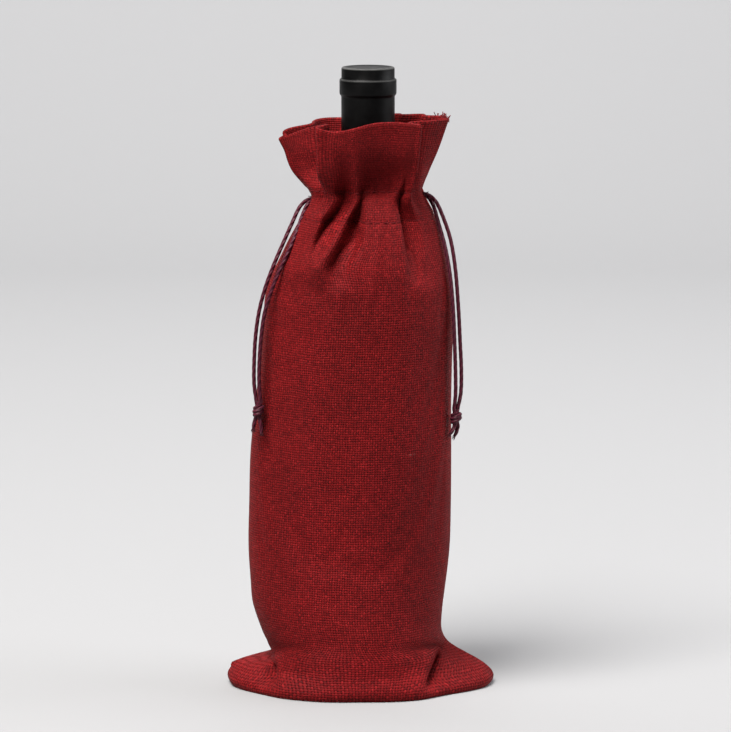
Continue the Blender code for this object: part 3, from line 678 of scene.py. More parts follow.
def follow(made):
    """Bakes the piece's placement into its points and reads them back in mm; it moves nothing."""
    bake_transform(made)
    points = np.zeros(len(made.data.vertices) * 3)
    made.data.vertices.foreach_get("co", points)
    points = points.reshape(-1, 3) / MM


# ---------------------------------------------------------------- materials
class Nodes:
    """Builds the nodes of one material."""

    def __init__(self, name):
        self.material = bpy.data.materials.new(name)
        self.material.use_nodes = True
        self.tree = self.material.node_tree
        self.shader = self.tree.nodes["Principled BSDF"]

    def add(self, kind, **values):
        node = self.tree.nodes.new(kind)
        for key, value in values.items():
            setattr(node, key, value)
        return node

    def put(self, socket, value):
        """Links a node's output to a socket, or sets the socket's own value."""
        if isinstance(value, bpy.types.NodeSocket):
            self.tree.links.new(value, socket)
        else:
            socket.default_value = value

    def math(self, operation, first, second=0.0, third=None):
        node = self.add("ShaderNodeMath", operation=operation)
        self.put(node.inputs[0], first)
        self.put(node.inputs[1], second)
        if third is not None:
            self.put(node.inputs[2], third)
        return node.outputs[0]

    def remap(self, value, from_low, from_high, to_low, to_high):
        node = self.add("ShaderNodeMapRange")
        for socket, number in zip(node.inputs, (value, from_low, from_high, to_low, to_high)):
            self.put(socket, number)
        return node.outputs[0]

    def noise(self, vector, scale, detail=2.0, rough=0.5):
        node = self.add("ShaderNodeTexNoise")
        if vector is not None:
            self.put(node.inputs["Vector"], vector)
        node.inputs["Scale"].default_value = scale
        node.inputs["Detail"].default_value = detail
        node.inputs["Roughness"].default_value = rough
        return node.outputs["Fac"]

    def vector(self, x, y, z=0.0):
        node = self.add("ShaderNodeCombineXYZ")
        for socket, value in zip(node.inputs, (x, y, z)):
            self.put(socket, value)
        return node.outputs[0]

    def mix(self, share, first, second, blend="MIX"):
        node = self.add("ShaderNodeMix", data_type="RGBA", blend_type=blend)
        self.put(node.inputs["Factor"], share)
        self.put(node.inputs[6], first)
        self.put(node.inputs[7], second)
        return node.outputs[2]

    def ramp(self, value, *stops):
        node = self.add("ShaderNodeValToRGB")
        elements = node.color_ramp.elements
        while len(elements) < len(stops):
            elements.new(0.5)
        for element, (place, colour) in zip(elements, stops):
            element.position = place
            element.color = (*colour, 1.0)
        self.put(node.inputs["Fac"], value)
        return node.outputs["Color"]

    def bump(self, height, distance, strength=1.0, normal=None):
        node = self.add("ShaderNodeBump")
        node.inputs["Strength"].default_value = strength
        node.inputs["Distance"].default_value = distance
        self.put(node.inputs["Height"], height)
        if normal is not None:
            self.put(node.inputs["Normal"], normal)
        return node.outputs["Normal"]

    def add_offset(self, vector, amount):
        node = self.add("ShaderNodeVectorMath", operation="ADD")
        self.put(node.inputs[0], vector)
        node.inputs[1].default_value = (amount, amount, amount)
        return node.outputs[0]

    def mix_value(self, share, first, second):
        node = self.add("ShaderNodeMix", data_type="FLOAT")
        self.put(node.inputs[0], share)
        self.put(node.inputs[2], first)
        self.put(node.inputs[3], second)
        return node.outputs[0]

    def grey(self, value):
        node = self.add("ShaderNodeCombineColor")
        for socket in node.inputs[:3]:
            self.put(socket, value)
        return node.outputs[0]

    def split(self, vector):
        node = self.add("ShaderNodeSeparateXYZ")
        self.put(node.inputs[0], vector)
        return node.outputs

    def shade(self, **values):
        """Sets the shader's inputs. An underline in a key stands for a space."""
        for key, value in values.items():
            self.put(self.shader.inputs[key.replace("_", " ")], value)


YARN_ACROSS = 1.30          # pitch of the upright yarns (mm)
YARN_UP = 1.22              # pitch of the level yarns (mm)
DARK_YARN = (0.076, 0.0020, 0.0030)
MID_YARN = (0.168, 0.0037, 0.0048)
LIGHT_YARN = (0.290, 0.0120, 0.0135)
SLUB_YARN = (0.400, 0.1000, 0.0860)
WARP_TONE = 1.04            # the upright yarns are a little lighter than the level ones, partly by their own colour and partly as painted sheen for how each direction catches the light
WEFT_TONE = 0.84
YARN_SWAY = 0.55            # how far the yarns wander, in pitches


def woven_cloth():
    """Coarse plain weave: upright and level yarns pass over each other in turn. Each yarn has
    its own shade and thickness, with heathered streaks and a few pale slubs."""
    m = Nodes("woven_cloth")
    uv = m.add("ShaderNodeUVMap", uv_map="cloth").outputs["UV"]
    place = m.split(uv)
    sway = m.noise(uv, 90.0, 1.0)
    sway_up = m.noise(m.add_offset(uv, 3.7), 90.0, 1.0)
    across = m.math("MULTIPLY_ADD", place[0], 1 / (YARN_ACROSS * MM),
                    m.remap(sway, 0, 1, -YARN_SWAY, YARN_SWAY))
    up = m.math("MULTIPLY_ADD", place[1], 1 / (YARN_UP * MM),
                m.remap(sway_up, 0, 1, -YARN_SWAY, YARN_SWAY))

    def yarn(place, along, salt):
        """Number, roundness, shade and pale slubs of the yarn at a place across the set."""
        number = m.math("FLOOR", place)
        offset = m.math("MULTIPLY_ADD", m.math("FRACT", place), 2.0, -1.0)
        seed = m.math("MULTIPLY_ADD", number, 7.31, salt)
        thick = m.noise(m.vector(seed, m.math("MULTIPLY", along, 0.10)), 1.0, 2.0)
        width = m.remap(thick, 0.30, 0.70, 1.30, 0.92)
        inside = m.math("MULTIPLY", offset, width)
        square = m.math("MULTIPLY", inside, inside)
        round_top = m.math("SQRT", m.math("MAXIMUM", m.math("SUBTRACT", 1.0, square), 0.0))
        streak = m.noise(m.vector(m.math("ADD", seed, m.math("MULTIPLY", offset, 0.8)),
                                  m.math("MULTIPLY", along, 0.28)), 1.0, 3.0, 0.65)
        slub = m.noise(m.vector(m.math("ADD", seed, 91.0), m.math("MULTIPLY", along, 0.055)),
                       1.0, 1.0)
        return number, round_top, streak, slub

    warp, warp_round, warp_streak, warp_slub = yarn(across, up, 0.0)
    weft, weft_round, weft_streak, weft_slub = yarn(up, across, 400.0)
    warp_wave = m.math("COSINE", m.math("MULTIPLY", m.math("ADD", m.math("SUBTRACT", up, 0.5),
                                                           warp), math.pi))
    weft_wave = m.math("COSINE", m.math("MULTIPLY", m.math("ADD", m.math("SUBTRACT", across, 0.5),
                                                           weft), math.pi))
    warp_top = m.math("MULTIPLY", warp_round, m.math("MULTIPLY_ADD", warp_wave, 0.36, 0.60))
    weft_top = m.math("MULTIPLY", weft_round, m.math("MULTIPLY_ADD", weft_wave, -0.36, 0.64))
    height = m.math("MAXIMUM", warp_top, weft_top)
    weft_over = m.math("GREATER_THAN", weft_top, warp_top)
    streak = m.mix_value(weft_over, warp_streak, weft_streak)
    slub = m.mix_value(weft_over, warp_slub, weft_slub)
    shade = m.ramp(streak, (0.34, DARK_YARN), (0.51, MID_YARN), (0.69, LIGHT_YARN))
    shade = m.mix(m.remap(slub, 0.80, 0.86, 0.0, 0.5), shade, (*SLUB_YARN, 1.0))
    patch = m.remap(m.noise(uv, 24.0, 3.0), 0.3, 0.7, 0.84, 1.14)
    # Painted shade: the colour darkens in the low pits between the yarns.
    pits = m.remap(height, 0.34, 0.62, 0.18, 1.0)
    # Partly yarn colour, partly painted sheen: the yarn on top is lighter where it runs upright and
    # darker where it runs level.
    set_tone = m.remap(weft_over, 0.0, 1.0, WARP_TONE, WEFT_TONE)
    tone = m.math("MULTIPLY", m.math("MULTIPLY", patch, pits), set_tone)
    tinted = m.mix(1.0, shade, m.grey(tone), "MULTIPLY")
    fibre = m.noise(uv, 5200.0, 2.0, 0.7)
    rise = m.math("MULTIPLY_ADD", fibre, 0.16, height)
    m.shade(Base_Color=tinted, Normal=m.bump(rise, 0.00042, 0.85),
            Roughness=m.remap(height, 0.3, 1.0, 0.86, 0.58))
    m.shade(Specular_IOR_Level=0.10, Sheen_Weight=0.02, Sheen_Roughness=0.4,
            Sheen_Tint=(1.0, 0.30, 0.28, 1.0))
    return m.material


def plied(name, dark, light, twist, plies, rough, sheen):
    """Twisted yarn: plies wound round each other, with fine fibres along them."""
    m = Nodes(name)
    uv = m.add("ShaderNodeUVMap", uv_map="cloth").outputs["UV"]
    around, along = m.split(uv)[:2]
    turn = m.math("MULTIPLY", around, plies * 2 * math.pi)
    wound = m.math("COSINE", m.math("SUBTRACT", turn, m.math("MULTIPLY", along, twist)))
    fibre_place = m.vector(m.math("MULTIPLY_ADD", along, -twist / (2 * math.pi) * 2.2,
                                  m.math("MULTIPLY", around, plies * 2.2 * 3)),
                           m.math("MULTIPLY", along, 260.0))
    fibre = m.noise(fibre_place, 3.0, 3.0, 0.7)
    # Painted shade: the colour darkens in the grooves between the plies.
    groove_shade = m.remap(wound, -1.0, 0.0, 0.50, 1.0)
    shade = m.ramp(fibre, (0.30, dark), (0.72, light))
    tinted = m.mix(1.0, shade, m.grey(groove_shade), "MULTIPLY")
    rise = m.math("MULTIPLY_ADD", fibre, 0.35, wound)
    m.shade(Base_Color=tinted, Normal=m.bump(rise, 0.00016, 0.8), Roughness=rough)
    m.shade(Specular_IOR_Level=0.22, Sheen_Weight=sheen, Sheen_Roughness=0.4)
    return m.material


PAINTED_HIGHLIGHT_EDGES = ((323.1, 1.0), (RING_HIGH - 0.3, 0.5))    # height (mm) and strength of each painted highlight
PAINTED_HIGHLIGHT_WIDTH = 0.6          # how far the painted highlight reaches from each edge (mm)


def foil():
    """Matt black shrink foil: faint orange peel, fine upright draw lines, scuffs, and a painted
    highlight, a lighter base colour round its top edge and round the ring."""
    m = Nodes("capsule_foil")
    place = m.add("ShaderNodeTexCoord").outputs["Object"]
    peel = m.noise(place, 420.0, 3.0, 0.6)
    stretched = m.add("ShaderNodeMapping")
    m.put(stretched.inputs["Vector"], place)
    stretched.inputs["Scale"].default_value = (900.0, 900.0, 28.0)
    lines = m.noise(stretched.outputs[0], 1.0, 2.0, 0.5)
    scuffs = m.noise(place, 130.0, 4.0, 0.7)
    rise = m.math("MULTIPLY_ADD", lines, 0.35, peel)
    black = m.ramp(scuffs, (0.40, (0.0014, 0.0014, 0.0015)), (0.75, (0.0036, 0.0034, 0.0035)))
    x, y, z = m.split(place)
    radius = m.math("SQRT", m.math("ADD", m.math("POWER", x, 2.0), m.math("POWER", y, 2.0)))
    # Painted highlight: the base colour turns lighter along the top edge and the ring's edge, where
    # the lamps would glint on the foil.
    edge_highlight = 0.0
    for height, share in PAINTED_HIGHLIGHT_EDGES:
        off = m.math("ABSOLUTE", m.math("SUBTRACT", z, height * MM))
        edge_highlight = m.math("ADD", m.remap(off, 0.0, PAINTED_HIGHLIGHT_WIDTH * MM, share, 0.0), edge_highlight)
    edge_highlight = m.math("MULTIPLY", edge_highlight, m.remap(radius, 0.0112, 0.0128, 0.0, 1.0))
    painted_highlight = m.math("MULTIPLY", edge_highlight, m.remap(peel, 0.3, 0.7, 0.6, 1.0))
    colour = m.mix(painted_highlight, black, (0.10, 0.10, 0.098, 1.0))
    m.shade(Base_Color=colour, Normal=m.bump(rise, 0.00006, 0.5),
            Roughness=m.remap(scuffs, 0.3, 0.7, 0.36, 0.50))
    m.shade(Specular_IOR_Level=0.12)
    return m.material


def bottle_green():
    """Thick bottle glass, nearly black, with slow mould ripples."""
    m = Nodes("bottle_glass_green")
    place = m.add("ShaderNodeTexCoord").outputs["Object"]
    ripple = m.noise(place, 38.0, 2.0)
    colour = m.ramp(ripple, (0.3, (0.006, 0.016, 0.007)), (0.7, (0.010, 0.026, 0.012)))
    m.shade(Base_Color=colour, Normal=m.bump(ripple, 0.0004, 0.3))
    m.shade(Roughness=0.06, IOR=1.52, Coat_Weight=0.3)
    return m.material


def wine_red():
    """Dark red wine, with slow clouds of colour."""
    m = Nodes("wine_dark_red")
    place = m.add("ShaderNodeTexCoord").outputs["Object"]
    cloud = m.noise(place, 20.0, 2.0)
    m.shade(Base_Color=m.ramp(cloud, (0.3, (0.030, 0.001, 0.004)), (0.7, (0.052, 0.002, 0.007))))
    m.shade(Roughness=0.05, IOR=1.34)
    return m.material


def cut_cork():
    """Cork with its grain, dark pores and lenticels."""
    m = Nodes("cork_grain")
    place = m.add("ShaderNodeTexCoord").outputs["Object"]
    grain = m.noise(place, 900.0, 5.0, 0.7)
    pores = m.add("ShaderNodeTexVoronoi")
    m.put(pores.inputs["Vector"], place)
    pores.inputs["Scale"].default_value = 420.0
    pits = m.remap(pores.outputs["Distance"], 0.0, 0.25, 0.35, 1.0)
    shade = m.ramp(grain, (0.3, (0.30, 0.17, 0.085)), (0.7, (0.56, 0.37, 0.22)))
    m.shade(Base_Color=m.mix(1.0, shade, m.grey(pits), "MULTIPLY"),
            Normal=m.bump(m.math("MULTIPLY", grain, pits), 0.0002, 0.8), Roughness=0.85)
    return m.material


def studio_floor():
    """Plain pale paper."""
    m = Nodes("studio_sweep")
    m.shade(Base_Color=(0.32, 0.32, 0.327, 1.0), Roughness=0.75, Specular_IOR_Level=0.2)
    return m.material


# ---------------------------------------------------------------- camera, sweep and light
CAMERA_PLACE = (-0.0013, -2.2, 0.517)
CAMERA_PITCH = 9.02         # degrees down
CAMERA_LENS = 210.9         # mm, on a sensor 36 mm wide
SWEEP_HALF = 4.0            # half the width of the floor (m)
SWEEP_BACK = 1.6            # where it starts to curve up
SWEEP_BEND = 0.9            # radius of the curve
SWEEP_TOP = 3.5


def camera():
    data = bpy.data.cameras.new("camera")
    data.lens = CAMERA_LENS
    data.sensor_width = 36.0
    data.clip_start = 0.01
    made = bpy.data.objects.new("camera", data)
    made.location = CAMERA_PLACE
    made.rotation_euler = (math.radians(90 - CAMERA_PITCH), 0, 0)
    bpy.context.scene.collection.objects.link(made)
    bpy.context.scene.camera = made


def area_light(name, place, size, power, colour=(1, 1, 1), aim=(0, 0, 0.16)):
    data = bpy.data.lights.new(name, "AREA")
    data.shape = "RECTANGLE"
    data.size, data.size_y = size
    data.energy = power
    data.color = colour
    made = bpy.data.objects.new(name, data)
    made.location = place
    made.rotation_euler = (Vector(aim) - Vector(place)).to_track_quat("-Z", "Y").to_euler()
    bpy.context.scene.collection.objects.link(made)


def studio():
    """A plain sweep that curves up behind, and soft light from the upper left front."""
    line = [(-SWEEP_HALF, 0.0), (SWEEP_BACK, 0.0)]
    line += [(SWEEP_BACK + SWEEP_BEND * math.sin(a), SWEEP_BEND * (1 - math.cos(a)))
             for a in np.linspace(0.1, math.pi / 2, 16)]
    line.append((SWEEP_BACK + SWEEP_BEND, SWEEP_TOP))
    points = [(x, y, z) for y, z in line for x in (-SWEEP_HALF, SWEEP_HALF)]
    faces = [(2 * i, 2 * i + 1, 2 * i + 3, 2 * i + 2) for i in range(len(line) - 1)]
    sweep = piece("studio_sweep", points, faces, studio_floor())
    world = bpy.data.worlds.new("studio")
    world.use_nodes = True
    background = world.node_tree.nodes["Background"]
    background.inputs["Color"].default_value = (0.94, 0.95, 1.0, 1.0)
    background.inputs["Strength"].default_value = 0.08
    bpy.context.scene.world = world
    bpy.context.scene.view_settings.view_transform = "Standard"
    area_light("key", (-0.80, -0.95, 2.45), (1.4, 1.4), 162.0, (1.0, 0.98, 0.95))
    area_light("right", (1.7, 0.1, 1.0), (1.4, 1.4), 27.0, (0.97, 0.98, 1.0))
    area_light("sweep_wash", (0.0, 0.9, 2.6), (2.4, 0.8), 82.0, aim=(0.0, 2.4, 1.4))


# ---------------------------------------------------------------- drawcords
# Each strand's route from its exit down to the knot, and each cut end's below it (m).
RIGHT_OUTER = (
    (0.0252, -0.0013, 0.2577), (0.0304, -0.0014, 0.2576), (0.0350, -0.0030, 0.2540),
    (0.0388, -0.0052, 0.2460), (0.0425, -0.0080, 0.2350), (0.0450, -0.0100, 0.2200),
    (0.0466, -0.0115, 0.2000), (0.0475, -0.0120, 0.1830), (0.0482, -0.0122, 0.1680),
    (0.0480, -0.0123, 0.1560), (0.0464, -0.0124, 0.1475))
RIGHT_INNER = (
    (0.0252, 0.0013, 0.2577), (0.0300, 0.0012, 0.2568), (0.0336, -0.0008, 0.2520),
    (0.0364, -0.0050, 0.2430), (0.0398, -0.0098, 0.2310), (0.0424, -0.0130, 0.2160),
    (0.0439, -0.0145, 0.1990), (0.0447, -0.0148, 0.1810), (0.0452, -0.0146, 0.1650),
    (0.0452, -0.0142, 0.1550), (0.0445, -0.0136, 0.1475))
LEFT_OUTER = (
    (-0.0252, 0.0013, 0.2549), (-0.0306, 0.0008, 0.2548), (-0.0352, -0.0022, 0.2512),
    (-0.0394, -0.0068, 0.2428), (-0.0438, -0.0104, 0.2332), (-0.0485, -0.0133, 0.2225),
    (-0.0528, -0.0148, 0.2110), (-0.0560, -0.0156, 0.1990), (-0.0579, -0.0163, 0.1860),
    (-0.0587, -0.0170, 0.1720), (-0.0587, -0.0176, 0.1610), (-0.0576, -0.0180, 0.1522))
LEFT_INNER = (
    (-0.0252, -0.0013, 0.2549), (-0.0306, -0.0018, 0.2532), (-0.0338, -0.0052, 0.2472),
    (-0.0365, -0.0110, 0.2400), (-0.0400, -0.0154, 0.2320), (-0.0446, -0.0178, 0.2220),
    (-0.0492, -0.0185, 0.2110), (-0.0530, -0.0188, 0.1990), (-0.0550, -0.0190, 0.1860),
    (-0.0560, -0.0190, 0.1720), (-0.0561, -0.0190, 0.1610), (-0.0554, -0.0190, 0.1522))
STRANDS = {
    "right": {"outer": RIGHT_OUTER, "inner": RIGHT_INNER},
    "left": {"outer": LEFT_OUTER, "inner": LEFT_INNER}}
CUT_ENDS = {
    "right": {"front": ((0.0446, -0.0136, 0.1381), (0.0436, -0.0144, 0.1360),
                        (0.0424, -0.0150, 0.1344)),
              "rear": ((0.0466, -0.0118, 0.1381), (0.0458, -0.0116, 0.1350),
                       (0.0446, -0.0116, 0.1326))},
    "left": {"front": ((-0.0558, -0.0192, 0.1428), (-0.0552, -0.0198, 0.1392),
                       (-0.0550, -0.0202, 0.1360)),
             "rear": ((-0.0582, -0.0180, 0.1428), (-0.0590, -0.0178, 0.1398),
                      (-0.0592, -0.0178, 0.1375))}}
CORD_TWIST = 2 * math.pi / 0.0042       # one turn of the plies every 4.2 mm
CORD_PLIES = 3
CORD_LOOK = {"twist": CORD_TWIST, "lobes": CORD_PLIES, "lobe": 0.03}
KNOT_TURNS = 2.7
KNOT_START = 0.6            # where round the knot its wraps begin (radians)
KNOT_PITCH = 1.75           # the wraps lie tight against each other (mm)
KNOT_LEAN = 0.35            # slope of the wraps
KNOT_WIRE = 1.04            # the wraps are a little thicker than the free cord
FRAY_FIBRES = 16            # loose fibres at a cut end


def frayed_end(name, route, body, material):
    """A short cut end whose plies come apart into fibres at its tip."""
    path = smooth_path(route, 0.0003)
    share = np.linspace(0, 1, len(path))
    radius = CORD / 2 * MM * (1 - 0.25 * smoothstep(0.55, 1, share))
    core, faces, uvs = tube_parts(path, radius, 16, **CORD_LOOK)
    points = [core]
    first = len(core)
    ahead = path[-1] - path[-4]
    ahead /= np.linalg.norm(ahead)
    sides, others = frames_along(path[-5:])
    for _ in range(FRAY_FIBRES):
        angle = random.uniform(0, 2 * math.pi)
        out = sides[-1] * math.cos(angle) + others[-1] * math.sin(angle)
        root = path[-3] + out * CORD * MM * random.uniform(0.05, 0.33)
        long = random.uniform(1.4, 2.8) * MM
        tip = root + ahead * long + out * long * random.uniform(0.1, 0.45)
        middle = (root + tip) / 2 + out * 0.12 * MM
        fibre, more, more_uvs = tube_parts([root, middle, tip], (0.11 * MM, 0.09 * MM, 0.04 * MM),
                                           5, first=first)
        points.append(fibre)
        faces += more
        uvs += more_uvs
        first += len(fibre)
    made = piece(name + "_look", np.concatenate(points), faces, material, uvs)
    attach(made, body)
    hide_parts(name)
    return made


def knot(side, body, material):
    """An overhand knot, drawn tight: both strands run on through it to their cut ends, and
    a bight of them is wound closely round."""
    name = f"{side}_cord_knot"
    low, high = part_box(name)
    centre = np.array((low + high) / 2)
    wire = CORD / 2 * MM
    reach = (high.x - low.x) / 2 - wire
    paths = []
    for strand, end in zip(STRANDS[side].values(), CUT_ENDS[side].values()):
        start, finish = np.array(strand[-1]), np.array(end[0])
        inside = centre + (start + finish - 2 * centre) * (0.25, 0.25, 0.0)
        paths.append(smooth_path([start, inside, finish], 0.0004))
    steps = np.linspace(0, 1, 110)
    angle = steps * KNOT_TURNS * 2 * math.pi + KNOT_START
    tuck = 1 - 0.55 * np.abs(2 * steps - 1) ** 5
    rise = (steps - 0.5) * KNOT_TURNS * KNOT_PITCH * MM + KNOT_LEAN * np.cos(angle) * reach
    paths.append(centre + np.column_stack([np.cos(angle) * reach * tuck,
                                           np.sin(angle) * reach * tuck, rise]))
    made = tubes(name + "_look", paths, wire * KNOT_WIRE, 16, material, **CORD_LOOK)
    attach(made, body)
    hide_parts(name)
    return made


def drawcord_tails(material):
    """Both pairs of strands with their knots and cut ends."""
    for side, strands in STRANDS.items():
        body = f"{side}_tail"
        pieces = [knot(side, body, material)]
        pieces += [frayed_end(f"{side}_cord_{end}_cut_end", route, body, material)
                   for end, route in CUT_ENDS[side].items()]
        for which, route in strands.items():
            name = f"{side}_cord_{which}_strand"
            path = smooth_path(route, 0.00045)
            points, faces, uvs = tube_parts(path, CORD / 2 * MM, 18, **CORD_LOOK)
            made = piece(name + "_look", points, faces, material, uvs)
            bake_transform(made)
            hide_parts(name)
            pieces = []


# ---------------------------------------------------------------- the cloth's pieces
STITCH = 3.1                # length of one stitch
STITCH_GAP = 0.9
THREAD = 0.42               # diameter of the sewing thread
THREAD_TWIST = 9000.0       # radians a metre
STITCH_MARGIN = 1.5         # bare cloth at either end of a row on the casing


def at_height(half, facing, column, height, proud):
    """A point on a column of the outer cloth at a height in mm, proud of its face."""
    heights = half[:, column, 2] / MM
    top = int(np.argmax(heights > height))
    share = (height - heights[top - 1]) / (heights[top] - heights[top - 1])
    point = half[top - 1, column] * (1 - share) + half[top, column] * share
    out = facing[top - 1, column] * (1 - share) + facing[top, column] * share
    return point + out / np.linalg.norm(out) * (THICKNESS / 2 + proud) * MM


def stitch_starts(first, last):
    """Where each stitch of a row from first to last begins."""
    starts = []
    while first + STITCH < last:
        starts.append(first)
        first += STITCH + STITCH_GAP
    return starts


def stitch_row(name, half, facing, height, material):
    """A row of lockstitches along the outside of the casing."""
    line = np.array([at_height(half, facing, c, height, 0.0) for c in range(half.shape[1])])
    outward = np.array([at_height(half, facing, c, height, 1.0) for c in range(half.shape[1])])
    outward = (outward - line) / MM
    run = distances(line) / MM
    lift = (0.22 - 0.42 * np.abs(np.linspace(-1, 1, 7)) ** 3) * MM
    paths = []
    for start in stitch_starts(STITCH_MARGIN, run[-1] - STITCH_MARGIN):
        at = np.linspace(start, start + STITCH, 7)
        paths.append(read_along(line, run, at) + read_along(outward, run, at) * lift[:, None])
    made = tubes(name + "_look", paths, THREAD / 2 * MM, 7, material)
    follow(made)
    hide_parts(name)


def cord_run(name, half, hem, height, exit_side, material):
    """The part of a drawcord that lies in one side of the casing, between the cloth and the
    hem, from the far side seam to the opening that it comes out of."""
    path = []
    for c in range(0, half.shape[1], 3):
        row = int(np.argmax(half[:, c, 2] / MM > height))
        x, y = hem[row, c, :2]
        radius = math.hypot(x, y) + (THICKNESS / 2 + CORD / 2 + 0.15) * MM
        turn = math.atan2(y, x)
        path.append((radius * math.cos(turn), radius * math.sin(turn), height * MM))
    path = np.array(path)
    if (path[0, 0] < path[-1, 0]) != (exit_side == "right"):
        path = path[::-1]
    side = np.sign(path[len(path) // 2, 1])
    outlets = np.array([route[0] for route in STRANDS[exit_side].values()])
    outlet = outlets[np.sign(outlets[:, 1]) == side]
    far = [(path[0, 0] * 0.98, side * 0.0002, height * MM)]
    inside = path[np.abs(path[:, 1]) > 0.004]
    route = np.concatenate([far, inside, outlet])
    route = np.concatenate([route[:-1:2], route[-1:]])
    made = tubes(name + "_look", [smooth_path(route, 0.0006)], CORD / 2 * MM, 14, material,
                 **CORD_LOOK)
    follow(made)
    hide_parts(name)


SEAM_LOW = {"left": 24.0, "right": 54.0}    # the cloth lies tight on the bottle below these
SEAM_HIGH = 243.0
SEAM_WIDTH = 7.5
SEAM_EDGE = 0.9             # the allowance starts this far inside the seam
SEAM_ROOM = 0.6             # and ends this far from the bottle


def side_seam(ring, side, cloth, thread):
    """The seam allowance inside a side seam: both cloths' edges, pressed together and
    sewn, as wide as the room beside the bottle allows."""
    column = 0 if side == "left" else ring.shape[1] // 2
    edge = ring[:, column]
    heights = edge[:, 2] / MM
    rows = [r for r in range(len(heights)) if SEAM_LOW[side] < heights[r] < SEAM_HIGH]
    outward = -1 if side == "left" else 1
    lips = []
    for r in rows:
        near = abs(edge[r, 0]) / MM - SEAM_EDGE
        far = max(near - SEAM_WIDTH, float(room_for_bottle(heights[r])) + SEAM_ROOM)
        wave = 0.25 * math.sin(heights[r] / 9.0)
        lips.append([(outward * (near + (far - near) * t) * MM,
                      edge[r, 1] + wave * t * MM, edge[r, 2]) for t in np.linspace(0, 1, 5)])
    lips = np.array(lips)
    if side == "left":
        lips = lips[:, ::-1]
    made = cloth_shell(f"{side}_side_seam_look", lips, heights[rows], cloth, 0.0)
    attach(made, "bag_body")
    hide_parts(f"{side}_side_seam")
    line = lips[:, 2] + np.array([0, -(THICKNESS / 2 + 0.12) * MM, 0])
    run = distances(line) / MM
    paths = [read_along(line, run, np.linspace(start, start + STITCH, 5))
             for start in stitch_starts(1.0, run[-1])]
    sewn = tubes(f"{side}_side_seam_stitching_look", paths, THREAD / 2 * MM, 6, thread)
    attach(sewn, "bag_body")
    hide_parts(f"{side}_side_seam_stitching")


BOTTOM_ALLOWANCE = (0.5, 6.5)           # from the bottom seam to its cut edge
BOTTOM_LAYER = 1.45         # height of the middle of the allowance above the floor
BOTTOM_STITCHES = 1.6       # how far from the seam its stitches run
BOTTOM_THREAD = 0.32


def bottom_seam(ring, cloth, thread):
    """The allowance of the bottom seam, folded back flat under the bottle, and its sewing."""
    half = ring.shape[1] // 2
    columns = range(6, half - 5, 2)
    rows = np.linspace(*BOTTOM_ALLOWANCE, 5)
    lips = np.array([[(ring[0, c, 0], y * MM, (BOTTOM_LAYER + 0.06 * math.sin(c * 0.4)) * MM)
                      for c in columns] for y in rows])
    made = cloth_shell("bottom_seam_look", lips, rows, cloth, 0.0)
    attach(made, "bag_body")
    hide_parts("bottom_seam")
    lift = BOTTOM_LAYER + 0.53 - 0.12 * np.abs(np.linspace(-1, 1, 5)) ** 3
    paths = []
    for start in stitch_starts(lips[0, 0, 0] / MM + 2, lips[0, -1, 0] / MM - 2):
        at = np.linspace(start, start + STITCH, 5)
        paths.append(np.column_stack([at, np.full(5, BOTTOM_STITCHES), lift]) * MM)
    sewn = tubes("bottom_seam_stitching_look", paths, BOTTOM_THREAD / 2 * MM, 6, thread)
    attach(sewn, "bag_body")
    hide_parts("bottom_seam_stitching")


def loose_fibres(name, roots, ways, long, radius, material):
    """Short curled fibres that stand out of the cloth's edge."""
    paths = []
    for root, way in zip(np.asarray(roots, float), np.asarray(ways, float)):
        length = long * random.uniform(0.5, 1.0)
        bend = random.normal(0, 0.35, 3)
        steps = np.linspace(0, 1, 7)[:, None]
        paths.append((root + (way * steps + bend * steps ** 2) * length) * MM)
    made = tubes(name, paths, radius * MM, 6, material)
    follow(made)


RIM_FRAYS = 80              # fibres at the rim's right back corner
RIM_FRAY_COLUMNS = 24       # fine columns from the right seam that they cover
FRAY_RADIUS = 0.22
THREAD_ENDS = ((28.5, -3.4, 258.5), (29, -3.2, 258), (-28.5, -3.6, 256.5))
THREAD_END_WAYS = ((1.0, -0.1, 0.05), (0.7, -0.1, 0.5), (-0.8, -0.2, 0.3))


def frays(ring, thread, cord_material):
    """The frayed corner of the back rim and the thread ends at the cords' exits."""
    half = ring.shape[1] // 2
    corner = ring[-1, half + 1:half + RIM_FRAY_COLUMNS] / MM
    roots = corner[random.integers(0, len(corner), RIM_FRAYS)]
    roots = roots + random.normal(0, 0.2, (RIM_FRAYS, 3))
    ways = random.normal(0, 0.45, (RIM_FRAYS, 3)) + (0.2, 0.0, 0.6)
    loose_fibres("rim_fraying", roots, ways, 2.0, FRAY_RADIUS, thread)
    loose_fibres("exit_thread_ends", THREAD_ENDS, THREAD_END_WAYS, 5.5, FRAY_RADIUS,
                 cord_material)


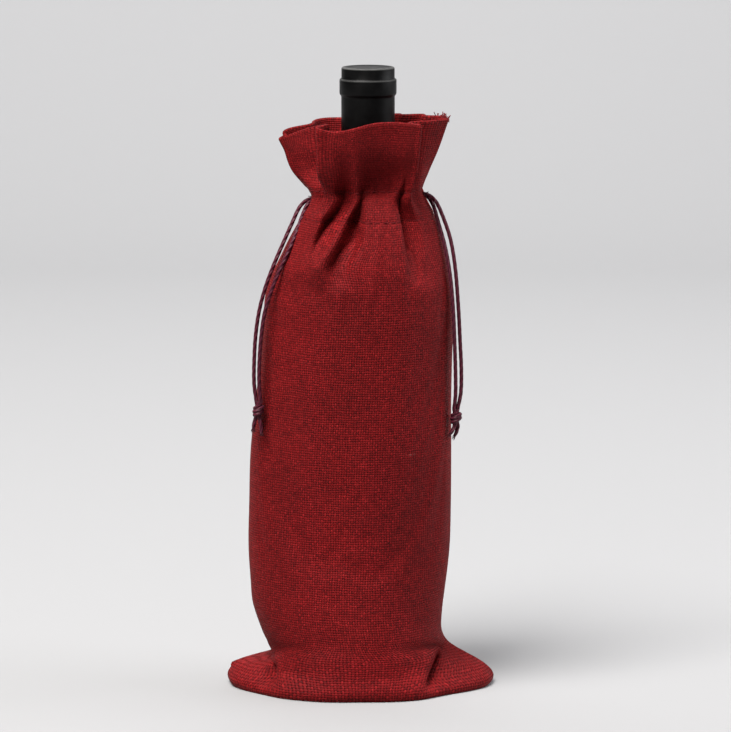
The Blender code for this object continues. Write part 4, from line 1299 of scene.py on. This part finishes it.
def bag(cloth, thread, cord_material):
    """The cloth of both sides with its hem, casing, seams, stitches and casing cords."""
    grid, rows = cloth_grid()
    grid = settle(grid)
    ring, fine_rows = finer(grid, rows)
    ring = clear_of_bottle(ring)
    ring = stitched(ring, normals(ring, ring=True))
    facing = normals(ring, ring=True)
    hem = hem_layer(ring, facing)
    columns = COLUMNS * FINER
    for side, first in (("front", 0), ("back", columns)):
        outer = open_slit(part_of_ring(ring, first, columns))
        inner = open_slit(part_of_ring(hem, first, columns))
        out = part_of_ring(facing, first, columns)
        middle, up = layered(outer, inner, out, fine_rows)
        made = cloth_shell(f"{side}_cloth", middle, up, cloth, first / columns * FLAT_WIDTH)
        follow(made)
        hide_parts(f"{side}_body_cloth", f"{side}_neck_cloth")
        for level, height in (("upper", CASING_HIGH), ("lower", CASING_LOW)):
            stitch_row(f"{side}_casing_{level}_stitching", outer, out, height, thread)
        for exit_side, height in (("right", RIGHT_CORD_HEIGHT), ("left", LEFT_CORD_HEIGHT)):
            cord_run(f"{exit_side}_cord_{side}_casing_run", outer, inner, height,
                     exit_side, cord_material)
    for side in ("left", "right"):
        side_seam(ring, side, cloth, thread)
    bottom_seam(ring, cloth, thread)
    frays(ring, thread, cord_material)


# ---------------------------------------------------------------- bottle
def capsule(material):
    """The foil capsule: its skirt, the ring under its top, and a rounded top edge."""
    low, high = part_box("capsule_skirt")
    bottom, top = low.z / MM, high.z / MM
    ring = high.x / MM
    neck, lip = CAPSULE_NECK, CAPSULE_LIP
    profile = [(0, bottom), (neck - 0.5, bottom), (neck, bottom + 0.5)]
    profile += [(neck - 0.05 * math.sin(math.pi * t), bottom + 0.5 + t * 42.0)
                for t in np.linspace(0.05, 1, 12)]
    profile += [(neck, RING_LOW - 0.4), (neck + 0.08, RING_LOW - 0.1),
                (neck + 0.42, RING_LOW + 0.5), (ring - 0.12, RING_LOW + 1.0),
                (ring, RING_LOW + 1.9)]
    profile += [(ring - 0.5 + 0.5 * math.cos(a), RING_HIGH - 0.7 + 0.7 * math.sin(a))
                for a in np.linspace(0, math.pi / 2 - 0.2, 5)]
    profile += [(lip + 0.25, RING_HIGH + 0.15), (lip, RING_HIGH + 0.6)]
    profile += [(lip - 0.9 + 0.9 * math.cos(a), top - 0.9 + 0.9 * math.sin(a))
                for a in np.linspace(0, math.pi / 2, 7)]
    profile += [(lip - 2.2, top - 0.02), (lip - 2.7, top - 0.25), (lip - 3.2, top - 0.3),
                (4.0, top - 0.3), (0, top - 0.3)]
    made = turned("capsule_look", profile, 128, material)
    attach(made, "bottle")
    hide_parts("capsule_skirt", "capsule_top_disc")


def dress(node, material):
    """Gives a CAD node its material."""
    node_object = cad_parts[node]
    node_object.data.materials.clear()
    node_object.data.materials.append(material)


def main():
    camera()
    cord_material = plied("drawcord", (0.030, 0.0020, 0.0080), (0.120, 0.0090, 0.0270),
                          CORD_TWIST, CORD_PLIES, 0.52, 0.03)
    thread = plied("sewing_thread", (0.13, 0.005, 0.008), (0.27, 0.012, 0.017),
                   THREAD_TWIST, 2, 0.7, 0.0)
    drawcord_tails(cord_material)
    cloth = woven_cloth()
    bag(cloth, thread, cord_material)
    capsule(foil())
    dress("bottle_glass", bottle_green())
    dress("wine", wine_red())
    dress("cork", cut_cork())
    studio()


main()
